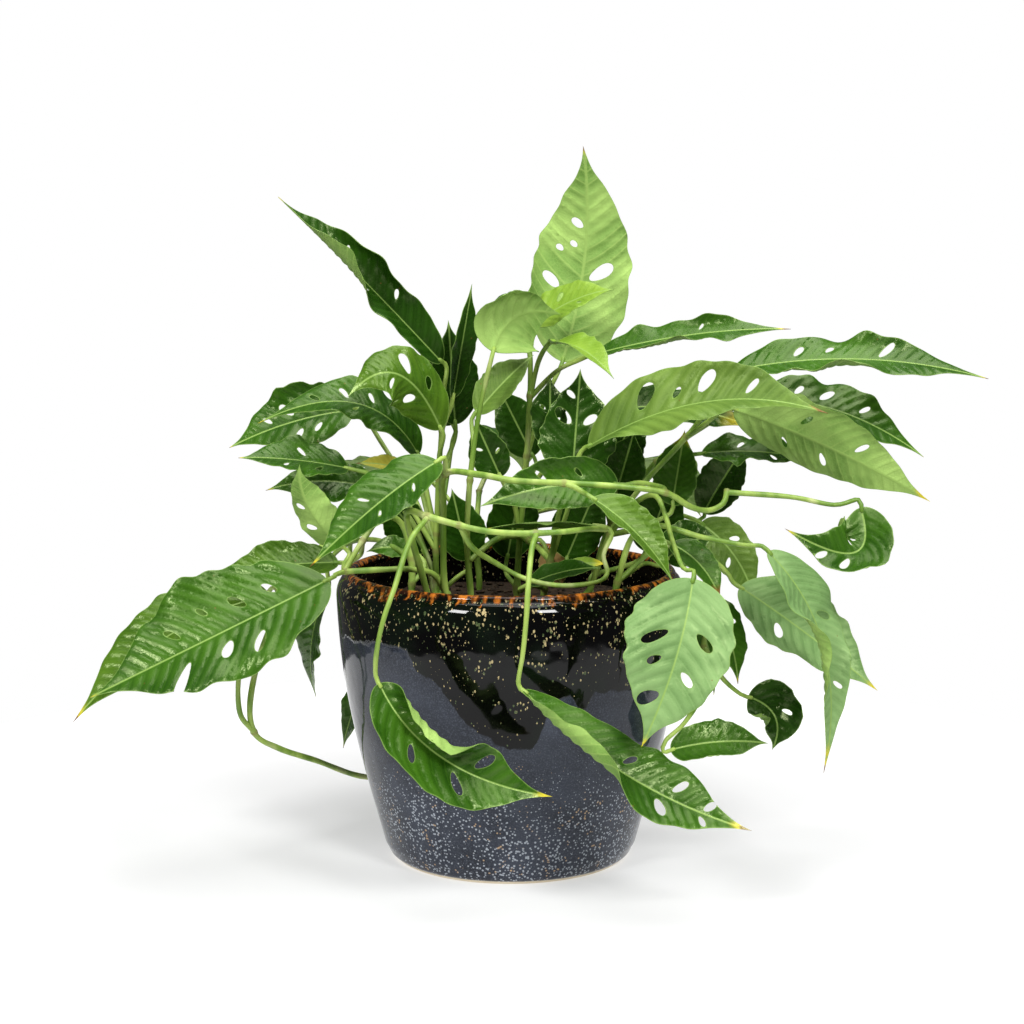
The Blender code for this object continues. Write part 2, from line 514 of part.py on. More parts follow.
def soil_top(radius):
    """Height of the soil at a distance from the pot's axis."""
    return SOIL_EDGE_TOP + SOIL_MOUND * math.cos(math.radians(min(90, radius)))


def build_soil(group, cutters, material):
    """Soil that fills the pot, with a plain hole round each rooted stem."""
    wall = [(pot_outer_radius(height) - POT_WALL - GAP, height) for height in SOIL_WALL_HEIGHTS]
    top = [(radius, soil_top(radius)) for radius in SOIL_TOP_RADII]
    bottom = [inner_corner(GAP), (FLOOR_FLAT, POT_FLOOR + GAP), (0, POT_FLOOR + GAP)]
    points = [(radius, 0, height) for radius, height in top + wall + bottom]
    edges = [(index, index + 1) for index in range(len(points) - 1)]
    soil = add_object("soil", mesh_from("soil", points, edges, []), group, material)
    turn_profile(soil, POT_STEPS)
    for x, y, z in root_places():
        add_hole(cutters, (x, y, z))
    cut = soil.modifiers.new("root holes", "BOOLEAN")
    cut.operation = "DIFFERENCE"
    cut.operand_type = "COLLECTION"
    cut.collection = cutters
    return soil


def root_places():
    """Where each rooted run begins."""
    return [points[0] for runs in STEMS.values() for points, leaf in runs if points[0][2] == ROOT_START]


def add_hole(cutters, place):
    """A plain round hole, deeper than the stem by the usual gap."""
    x, y, z = place
    radius = (VINE_RADIUS + GAP) / math.cos(math.pi / HOLE_SIDES)
    top = POT_HEIGHT
    bottom = z - GAP
    mesh = bpy.data.meshes.new("root_hole")
    shape = bmesh.new()
    centre = Matrix.Translation(Vector((x, y, (top + bottom) / 2)) * MM)
    bmesh.ops.create_cone(shape, cap_ends=True, segments=HOLE_SIDES, radius1=radius * MM, radius2=radius * MM,
                          depth=(top - bottom) * MM, matrix=centre)
    shape.to_mesh(mesh)
    shape.free()
    hole = bpy.data.objects.new("root_hole", mesh)
    hole.hide_render = True
    hole.display_type = "WIRE"
    cutters.objects.link(hole)


def outline_steps(name, width):
    """How many stretches each side of a blade's outline is drawn in."""
    if name in INNER_LEAVES:
        return INNER_OUTLINE_STEPS
    return SMALL_OUTLINE_STEPS if width <= SMALL_WIDTH else OUTLINE_STEPS


class Blade:
    """The curved surface of one leaf blade."""

    def __init__(self, name):
        row = INNER_LEAVES.get(name) or LEAVES[name]
        base, tip, bow, face, width, widest, turn, fold, wave = row
        self.base = Vector(base)
        self.tip = Vector(tip)
        self.bow = Vector(bow)
        self.face = Vector(face).normalized()
        self.half = width / 2
        self.widest = widest
        self.steps = outline_steps(name, width)
        self.turn = math.radians(turn)
        self.fold = math.radians(fold)
        self.wave = wave
        self.holes = HOLES.get(name, ())
        self.length = sum(
            (self.centre((step + 1) / 10) - self.centre(step / 10)).length for step in range(10)
        )

    def centre(self, t):
        return self.base.lerp(self.tip, t) + self.bow * (4 * t * (1 - t))

    def along(self, t):
        return (self.tip - self.base + self.bow * (4 - 8 * t)).normalized()

    def half_width(self, t):
        """Half the width: a round base, then a long drawn-out tip."""
        if t < self.widest:
            shape = (1 - (1 - t / self.widest) ** 2) ** BASE_POWER
        else:
            shape = math.cos(math.pi / 2 * (min(t, 1.0) - self.widest) / (1 - self.widest)) ** TIP_POWER
        return BLADE_ROOT_WIDTH * (1 - t) + (self.half - BLADE_ROOT_WIDTH) * shape

    def point(self, t, across):
        """The place of a point t along the midrib and so many millimetres across."""
        along = self.along(t)
        side = along.cross(self.face).normalized()
        up = side.cross(along)
        turn = Matrix.Rotation(self.turn * (t - 0.5), 3, along)
        side = turn @ side
        up = turn @ up
        soft = self.half * SOFT_FOLD
        bent = math.hypot(across, soft) - soft
        lift = bent * math.sin(self.fold)
        spread = across * math.cos(self.fold)
        sway = math.copysign(SIDE_SWAY, across)
        ripple = self.wave * (across / self.half) ** 2 * math.sin(math.tau * WAVES * t + sway)
        return self.centre(t) + side * spread + up * (lift + ripple)


def hole_loop(blade, hole):
    """The outline of one hole on the flat blade, slanted as the side veins are."""
    t, share, length, width = hole
    centre_x = t * blade.length
    centre_y = share * blade.half_width(t)
    slant = math.copysign(math.radians(VEIN_SLANT), share)
    points = []
    for index in range(HOLE_POINTS):
        angle = math.tau * index / HOLE_POINTS
        x = math.cos(angle) * length * blade.half / 2
        y = math.sin(angle) * width * blade.half / 2
        points.append((
            centre_x + x * math.cos(slant) - y * math.sin(slant),
            centre_y + x * math.sin(slant) + y * math.cos(slant),
        ))
    return points


def inside(x, y, loop):
    """Whether a flat point lies in a closed outline."""
    odd = False
    for (x1, y1), (x2, y2) in zip(loop, loop[1:] + loop[:1]):
        if (y1 > y) != (y2 > y) and x < x1 + (y - y1) * (x2 - x1) / (y2 - y1):
            odd = not odd
    return odd


def blade_outline(blade):
    steps = [0.5 - 0.5 * math.cos(math.pi * index / blade.steps) for index in range(blade.steps)]
    upper = [(t * blade.length, blade.half_width(t)) for t in steps]
    lower = [(x, -y) for x, y in reversed(upper)]
    return upper + [(blade.length, 0.0)] + lower


def blade_mesh(name, blade):
    """A leaf blade as one open sheet of triangles, cut through by its holes."""
    outline = blade_outline(blade)
    loops = [outline] + [hole_loop(blade, hole) for hole in blade.holes]
    points = []
    edges = []
    for loop in loops:
        first = len(points)
        points += loop
        edges += [(first + index, first + (index + 1) % len(loop)) for index in range(len(loop))]
    first = len(points)
    ribs = blade.steps - 1
    points += [(blade.length * (index + 1) / (ribs + 1), 0.0) for index in range(ribs)]
    edges += [(first + index, first + index + 1) for index in range(ribs - 1)]
    flat, _, triangles, _, _, _ = delaunay_2d_cdt([Vector(point) for point in points], edges, [], 0, 1e-4)
    kept = []
    for triangle in triangles:
        x = sum(flat[corner].x for corner in triangle) / 3
        y = sum(flat[corner].y for corner in triangle) / 3
        if inside(x, y, loops[0]) and not any(inside(x, y, loop) for loop in loops[1:]):
            kept.append(tuple(triangle))
    used = sorted({corner for triangle in kept for corner in triangle})
    order = {corner: index for index, corner in enumerate(used)}
    bent = [blade.point(flat[corner].x / blade.length, flat[corner].y) for corner in used]
    faces = [tuple(order[corner] for corner in triangle) for triangle in kept]
    return mesh_from(name, bent, [], faces)


def build_leaf(name, leaf_name, group, material):
    leaf = add_object(name, blade_mesh(name, Blade(leaf_name)), group, material)
    leaf.data.shade_smooth()
    solid = leaf.modifiers.new("thickness", "SOLIDIFY")
    solid.thickness = BLADE_THICKNESS * MM
    solid.offset = 0.0
    return leaf


def smooth_route(points, step):
    """Points on a smooth curve through a route's own points."""
    points = [Vector(point) for point in points]
    ends = [points[0] * 2 - points[1]] + points + [points[-1] * 2 - points[-2]]
    route = [points[0]]
    for index in range(1, len(ends) - 2):
        before, start, end, after = ends[index - 1:index + 3]
        pieces = max(1, round((end - start).length / step))
        for piece in range(1, pieces + 1):
            t = piece / pieces
            route.append(0.5 * (
                2 * start + (end - before) * t + (2 * before - 5 * start + 4 * end - after) * t ** 2
                + (3 * start - before - 3 * end + after) * t ** 3
            ))
    return route


def run_route(points, rooted, leaf):
    """The fewest points that follow the run, all of them kept where it stands in
    the soil and where it meets its blade."""
    route = smooth_route(points, ROUTE_STEP)
    first = next((index for index, place in enumerate(route) if place.z >= ROOT_TOP), 0) if rooted else 0
    last = len(route) - 2 if leaf else len(route) - 1
    kept = [route[0]] if first else []
    return kept + thin_route(route[first:last + 1]) + route[last + 1:]


def stalk_points(points, leaf):
    """The run's points, straight in the soil and led up to the blade's base.

    A stalk ends just short of a blade of its own node, and runs on into the
    midrib of a blade that is joined to it.
    """
    if points[0][2] == ROOT_START:
        x, y, z = points[0]
        points = ((x, y, z), (x, y, ROOT_COLLAR), (x, y, ROOT_TOP)) + points[1:]
    if leaf is None:
        return points
    blade = Blade(leaf)
    reach = STALK_LEAD if leaf in INNER_LEAVES else -GAP
    lead = blade.base - blade.along(0) * STALK_LEAD
    return points + (tuple(lead), tuple(blade.base + blade.along(0) * reach))


def thin_route(route):
    """Leave out the points that lie nearly on a straight line between others."""
    start, end = route[0], route[-1]
    line = (end - start).normalized()
    gaps = [(point - start - line * (point - start).dot(line)).length for point in route]
    worst = max(range(len(route)), key=gaps.__getitem__)
    if gaps[worst] <= ROUTE_SLACK or len(route) < 3:
        return [start, end]
    return thin_route(route[:worst + 1])[:-1] + thin_route(route[worst:])


def tube_object(name, points, radii, group):
    """A run as a closed tube with flat ends."""
    side = Vector(TUBE_START_SIDE)
    rings = []
    last = len(points) - 1
    for index, (point, radius) in enumerate(zip(points, radii)):
        along = (points[min(index + 1, last)] - points[max(index - 1, 0)]).normalized()
        side = (side - along * side.dot(along)).normalized()
        up = along.cross(side)
        for corner in range(TUBE_SIDES):
            angle = math.tau * corner / TUBE_SIDES
            rings.append(point + side * (math.cos(angle) * radius) + up * (math.sin(angle) * radius))
    faces = [tuple(reversed(range(TUBE_SIDES))), tuple(range(last * TUBE_SIDES, (last + 1) * TUBE_SIDES))]
    for ring in range(last):
        for corner in range(TUBE_SIDES):
            here = ring * TUBE_SIDES + corner
            after = ring * TUBE_SIDES + (corner + 1) % TUBE_SIDES
            faces.append((here, after, after + TUBE_SIDES, here + TUBE_SIDES))
    tube = bpy.data.objects.new(name, mesh_from(name, rings, [], faces))
    group.objects.link(tube)
    return tube


def run_radii(points, leaf, rooted):
    """Radii that taper from a run's start to its end."""
    start = VINE_RADIUS if rooted or leaf is None else STALK_RADIUS
    end = STALK_END_RADIUS if leaf else start * VINE_TAPER
    count = len(points) - 1
    return [start + (end - start) * index / count for index in range(count + 1)]


def build_stem(name, runs, group, material):
    """All the runs of one plant stem, joined into one body."""
    pieces = bpy.data.collections.new("pieces")
    bpy.context.scene.collection.children.link(pieces)
    for points, leaf in runs:
        rooted = points[0][2] == ROOT_START
        route = run_route(stalk_points(points, leaf), rooted, leaf)
        tube_object(name, route, run_radii(route, leaf, rooted), pieces)
        if leaf in INNER_LEAVES:
            build_leaf(leaf, leaf, pieces, material)
    first, *rest = list(pieces.objects)
    pieces.objects.unlink(first)
    group.objects.link(first)
    join = first.modifiers.new("join", "BOOLEAN")
    join.operation = "UNION"
    join.operand_type = "COLLECTION"
    join.collection = pieces
    bpy.context.view_layer.update()
    shown = first.evaluated_get(bpy.context.evaluated_depsgraph_get())
    joined = bpy.data.meshes.new_from_object(shown)
    for item in [first] + rest:
        bpy.data.objects.remove(item)
    bpy.data.collections.remove(pieces)
    stem = add_object("stem_" + name, joined, group, material)
    joined.shade_smooth()
    return stem


def main():
    clear_scene()
    plant = new_collection("monstera_adansonii")
    cutters = new_collection("cutters")
    build_pot(plant, new_material("glazed_pot", GLAZE, 0.15))
    build_soil(plant, cutters, new_material("earth", EARTH, 0.95))
    stem_skin = new_material("stem_skin", STEM_GREEN, 0.45)
    leaf_skin = new_material("leaf_skin", LEAF_GREEN, 0.35)
    for name, runs in STEMS.items():
        build_stem(name, runs, plant, stem_skin)
    for name in LEAVES:
        build_leaf("leaf_" + name, name, plant, leaf_skin)


main()
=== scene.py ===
"""A Swiss cheese vine in its glazed pot, dressed for a studio picture.

Shapes are in millimetres until a mesh is written, as in the part's source. X
runs to the right, Y away from the viewer and Z up.
"""
import math
import random

import bpy
import numpy as np
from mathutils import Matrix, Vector
from mathutils.geometry import delaunay_2d_cdt


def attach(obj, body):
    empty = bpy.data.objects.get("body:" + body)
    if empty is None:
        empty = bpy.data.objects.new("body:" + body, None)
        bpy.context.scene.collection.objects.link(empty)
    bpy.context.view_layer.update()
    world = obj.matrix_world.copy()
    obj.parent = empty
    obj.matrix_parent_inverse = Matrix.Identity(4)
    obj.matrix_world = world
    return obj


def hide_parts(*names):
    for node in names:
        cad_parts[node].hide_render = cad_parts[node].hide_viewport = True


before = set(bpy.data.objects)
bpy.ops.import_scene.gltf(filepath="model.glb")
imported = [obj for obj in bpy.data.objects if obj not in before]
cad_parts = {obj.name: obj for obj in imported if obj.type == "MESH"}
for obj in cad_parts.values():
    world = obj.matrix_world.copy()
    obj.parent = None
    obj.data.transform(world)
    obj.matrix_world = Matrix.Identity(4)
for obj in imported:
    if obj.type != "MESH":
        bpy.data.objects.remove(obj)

MM = 0.001
BLOCK = 2000
SHARP_ANGLE = 62

# Pot and soil, as in the part's source
POT_HEIGHT = 180.0
POT_RADIUS = 110.0
POT_FOOT_RADIUS = 74.0
POT_WALL = 6.0
POT_FLOOR = 9.0
POT_FOOT_STEP = 2.0
POT_BULGE = 7.0
POT_BULGE_POWER = 1.15
SHOULDER_START = 164.0
SHOULDER_DEPTH = 14.0
SOIL_EDGE_TOP = 154.0
SOIL_MOUND = 6.0
ROOT_START = 140
ROOT_COLLAR = 161
ROOT_TOP = 167

# Finer forms of the pot: its foot and the bead over it as a step out from the
# foot's radius and a height, then the rows of its wall
FOOT_PROFILE = (
    (-14, 1.8), (-11, 0.2), (-4, 0), (-2.4, 0.3), (-1.5, 1.0), (-1.2, 1.9),
    (-0.2, 2.2), (1.2, 3.4), (2.2, 5.2), (3.0, 7.4),
)
FOOT_HOLLOW = 1.8
CLAY_TOP = 2.3
WALL_START = 9.5
WALL_STEP = 2.5
RIM_STEP = 12
FLOOR_RADIUS = 60
POT_TURNS = 240

# Lumps and crumbs of the soil
SOIL_GAP = 0.4
SOIL_EDGE_LEVEL = 153
SOIL_STEP = 2.0
SOIL_BOTTOM = 120
SOIL_TURNS = 150
LUMP_COUNT = 260
LUMP_SIZES = (2.5, 7.0)
LUMP_RISE = (-0.5, 1.0)
LUMP_SHARE = 0.3
LUMP_LIMITS = (-2.5, 3.0)
LUMP_FLOOR = 150
CRUMB_COUNT = 320
CRUMB_SIZES = (0.8, 2.6)
CRUMB_SPREAD = 0.97
CRUMB_SHARE = 0.3
CRUMB_LEVELS = ((-1, 1), (-0.5, 5), (0.35, 6), (1, 1))
CRUMB_GROW = (0.75, 1.2)
CRUMB_FLATNESS = 0.8

# Leaves
BLADE_ROOT_WIDTH = 1.3
BASE_POWER = 0.6
TIP_POWER = 1.2
SOFT_FOLD = 0.12
SIDE_SWAY = 0.9
WAVES = 2.2
FINE_WAVES = (4.7, 6.3)
FINE_SHARE = 0.5
SIDE_SHIFT = 0.13
BLADE_THICKNESS = 0.55
EDGE_THICKNESS = 0.55
EDGE_GAIN = 0.45
GRID = 1.7
ROW_SHARE = 0.87
GRID_CLEAR = 0.55
VEIN_CLEAR = 0.5
LONGEST_EDGE = 3.5

# Margin: side, the name of its random draw and its waves
MARGIN_SIDES = ((1, " upper", (3.1, 5.3, 9.2)), (-1, " lower", (2.7, 5.9, 8.4)))
MARGIN_STEP = 1.3
MARGIN_STEPS_LEAST = 26
MARGIN_LEAN = 0.05
MARGIN_UNEVEN = 0.04
TIP_DRAWN = (0.74, 0.97)
TIP_NARROWING = 0.5

# Side veins, and holes that lie along them
VEIN_SLANT = 52.0
VEIN_SWEEP = 0.6
VEIN_CURVE = 0.3
VEIN_SPACING = 0.32
VEIN_SPACING_LEAST = 4.0
VEIN_SPACING_MOST = 8.5
MARK_GAP = 0.45
MIDRIB_SPAN = (0.02, 0.985)
MIDRIB_STEP = 2.2
MIDRIB_STEPS_LEAST = 8
MIDRIB_LINES = (-0.6, 0.0, 0.6)
VEIN_START = 1.4
VEIN_STEP = 1.5
HOLE_CORNERS = 22
HOLE_NARROWING = 0.16
HOLE_UNEVEN = 0.05

# Relief of a blade
PILLOW_UPPER = 0.70
PILLOW_UNDER = 0.60
MIDRIB_GROOVE = 0.25
MIDRIB_RIDGE = 0.5
MIDRIB_WIDTH = 0.8
MIDRIB_TAPER = 0.7
VEIN_RIDGE = 0.18
FULL_RELIEF_HALF = 20
TIP_RAGGED = 0.02

# Stems
VINE_RADIUS = 2.1
STALK_RADIUS = 1.7
STALK_END_RADIUS = 1.3
ROUTE_STEP = 3.0
VINE_TAPER = 0.8
STALK_LEAD = 5.0
STALK_INTO_BLADE = 2.5
TUBE_SIDES = 12
TUBE_CAP = 0.7
TUBE_UNEVEN = 0.05
TUBE_WAVES = (1, 2.3)
TUBE_WAVE_LENGTH = 60
KNOT_SPREAD = 1.9
KNOT_SWELL = 0.6
KNOT_REACH = 4.0

# Holes in a blade: place along the midrib, place across as a share of the
# half-width with the sign of the side, then the length along the vein and the
# width as shares of the blade's greatest half-width
SOME_HOLES = (
    (0.3, 0.42, 0.41, 0.16), (0.5, 0.42, 0.41, 0.16), (0.35, -0.42, 0.38, 0.16), (0.56, -0.4, 0.34, 0.13),
)
FEW_HOLES = ((0.4, 0.42, 0.34, 0.13), (0.52, -0.42, 0.31, 0.13))
HOLES = {
    "top_tall": (
        (0.64, 0.26, 0.28, 0.15), (0.54, 0.27, 0.17, 0.11), (0.52, 0.56, 0.17, 0.11),
        (0.36, 0.6, 0.42, 0.21), (0.42, -0.36, 0.52, 0.24),
    ),
    "upper_left": ((0.62, 0.45, 0.24, 0.1), (0.34, 0.5, 0.32, 0.13), (0.46, -0.4, 0.3, 0.12)),
    "ring_holes": (
        (0.44, 0.48, 0.66, 0.3), (0.56, -0.38, 0.43, 0.2), (0.28, -0.42, 0.45, 0.26),
        (0.24, 0.48, 0.36, 0.18),
    ),
    "left_arch": (
        (0.72, 0.38, 0.36, 0.16), (0.56, 0.4, 0.43, 0.18), (0.4, 0.42, 0.37, 0.15), (0.5, -0.4, 0.35, 0.14),
    ),
    "left_pale": (
        (0.5, 0.4, 0.42, 0.2), (0.3, 0.4, 0.34, 0.15), (0.46, -0.48, 0.34, 0.15), (0.66, 0.38, 0.26, 0.11),
        (0.3, -0.42, 0.36, 0.14),
    ),
    "left_second": ((0.42, 0.42, 0.39, 0.16), (0.28, -0.44, 0.38, 0.16), (0.58, -0.42, 0.28, 0.13)),
    "left_small": ((0.52, 0.46, 0.46, 0.22), (0.3, 0.48, 0.48, 0.24)),
    "mid_left": ((0.28, -0.42, 0.44, 0.09), (0.54, 0.42, 0.32, 0.09), (0.54, -0.42, 0.26, 0.09)),
    "big_left": (
        (0.22, 0.42, 0.28, 0.13), (0.36, 0.38, 0.32, 0.14), (0.64, 0.4, 0.29, 0.1),
        (0.48, -0.36, 0.34, 0.16), (0.36, -0.52, 0.42, 0.15), (0.68, -0.7, 0.72, 0.16),
        (0.5, 0.46, 0.2, 0.08),
    ),
    "behind_left": ((0.78, -0.42, 0.31, 0.15), (0.56, 0.38, 0.26, 0.11), (0.4, -0.42, 0.32, 0.12)),
    "front_left": ((0.68, -0.46, 0.5, 0.21), (0.6, 0.42, 0.56, 0.19), (0.36, 0.44, 0.46, 0.16)),
    "front_middle": (
        (0.7, -0.46, 0.46, 0.19), (0.83, -0.44, 0.36, 0.19), (0.66, 0.42, 0.5, 0.26),
        (0.82, 0.42, 0.3, 0.15), (0.48, -0.42, 0.4, 0.18), (0.46, 0.42, 0.42, 0.16),
    ),
    "front_right": (
        (0.4, 0.5, 0.56, 0.18), (0.36, -0.42, 0.4, 0.18), (0.53, 0.42, 0.29, 0.14),
        (0.58, -0.34, 0.31, 0.14), (0.74, 0.46, 0.42, 0.23),
    ),
    "cross_leaf": ((0.54, 0.44, 0.56, 0.13), (0.28, 0.42, 0.36, 0.14)),
    "long_keel": (
        (0.26, -0.52, 0.58, 0.28), (0.5, -0.5, 0.54, 0.25), (0.68, -0.44, 0.38, 0.13),
        (0.38, -0.38, 0.26, 0.13),
    ),
    "inner_tall": ((0.56, -0.42, 0.54, 0.28), (0.54, 0.4, 0.4, 0.2), (0.76, -0.4, 0.28, 0.14)),
    "inner_dark": ((0.4, 0.42, 0.36, 0.15), (0.58, -0.42, 0.34, 0.14)),
    "dark_holes": (
        (0.26, 0.46, 0.36, 0.17), (0.46, 0.46, 0.41, 0.19), (0.34, -0.44, 0.38, 0.17),
        (0.56, -0.42, 0.36, 0.17), (0.66, 0.4, 0.3, 0.14),
    ),
    "right_wave": ((0.64, 0.42, 0.44, 0.18), (0.34, -0.42, 0.41, 0.17)),
    "wavy_leaf": ((0.4, 0.42, 0.34, 0.13), (0.54, -0.42, 0.31, 0.13)),
    "right_lower": (
        (0.62, 0.44, 0.4, 0.13), (0.48, -0.42, 0.38, 0.14), (0.34, 0.42, 0.36, 0.13),
        (0.28, -0.42, 0.32, 0.12),
    ),
    "right_upper": (
        (0.4, -0.44, 0.52, 0.22), (0.24, -0.44, 0.34, 0.16), (0.62, -0.42, 0.34, 0.13),
        (0.46, 0.42, 0.36, 0.14),
    ),
    "far_right": (
        (0.26, -0.42, 0.41, 0.19), (0.38, -0.45, 0.34, 0.15), (0.6, -0.46, 0.62, 0.21),
        (0.52, 0.46, 0.38, 0.17),
    ),
    "curled_right": (
        (0.78, -0.42, 0.36, 0.15), (0.62, -0.42, 0.46, 0.18), (0.5, 0.42, 0.46, 0.19),
        (0.32, 0.44, 0.42, 0.17),
    ),
    "hanging_right": ((0.36, -0.42, 0.52, 0.25), (0.5, 0.42, 0.46, 0.2), (0.66, -0.42, 0.36, 0.15)),
    "right_olive": ((0.34, 0.46, 0.45, 0.22), (0.54, -0.44, 0.34, 0.14)),
    "right_hang": ((0.32, -0.44, 0.46, 0.22), (0.62, 0.42, 0.38, 0.17)),
    "right_grey": ((0.52, 0.44, 0.46, 0.2), (0.36, -0.44, 0.4, 0.18)),
    "low_right_dark": ((0.38, 0.42, 0.32, 0.14), (0.5, -0.42, 0.28, 0.12)),
    "bright_leaf": ((0.36, -0.44, 0.36, 0.18), (0.58, 0.42, 0.28, 0.13)),
    "back_left": SOME_HOLES,
    "back_middle": SOME_HOLES,
    "back_right": SOME_HOLES,
    "back_low_left": FEW_HOLES,
    "back_low_right": SOME_HOLES,
    "inner_mid": FEW_HOLES,
}

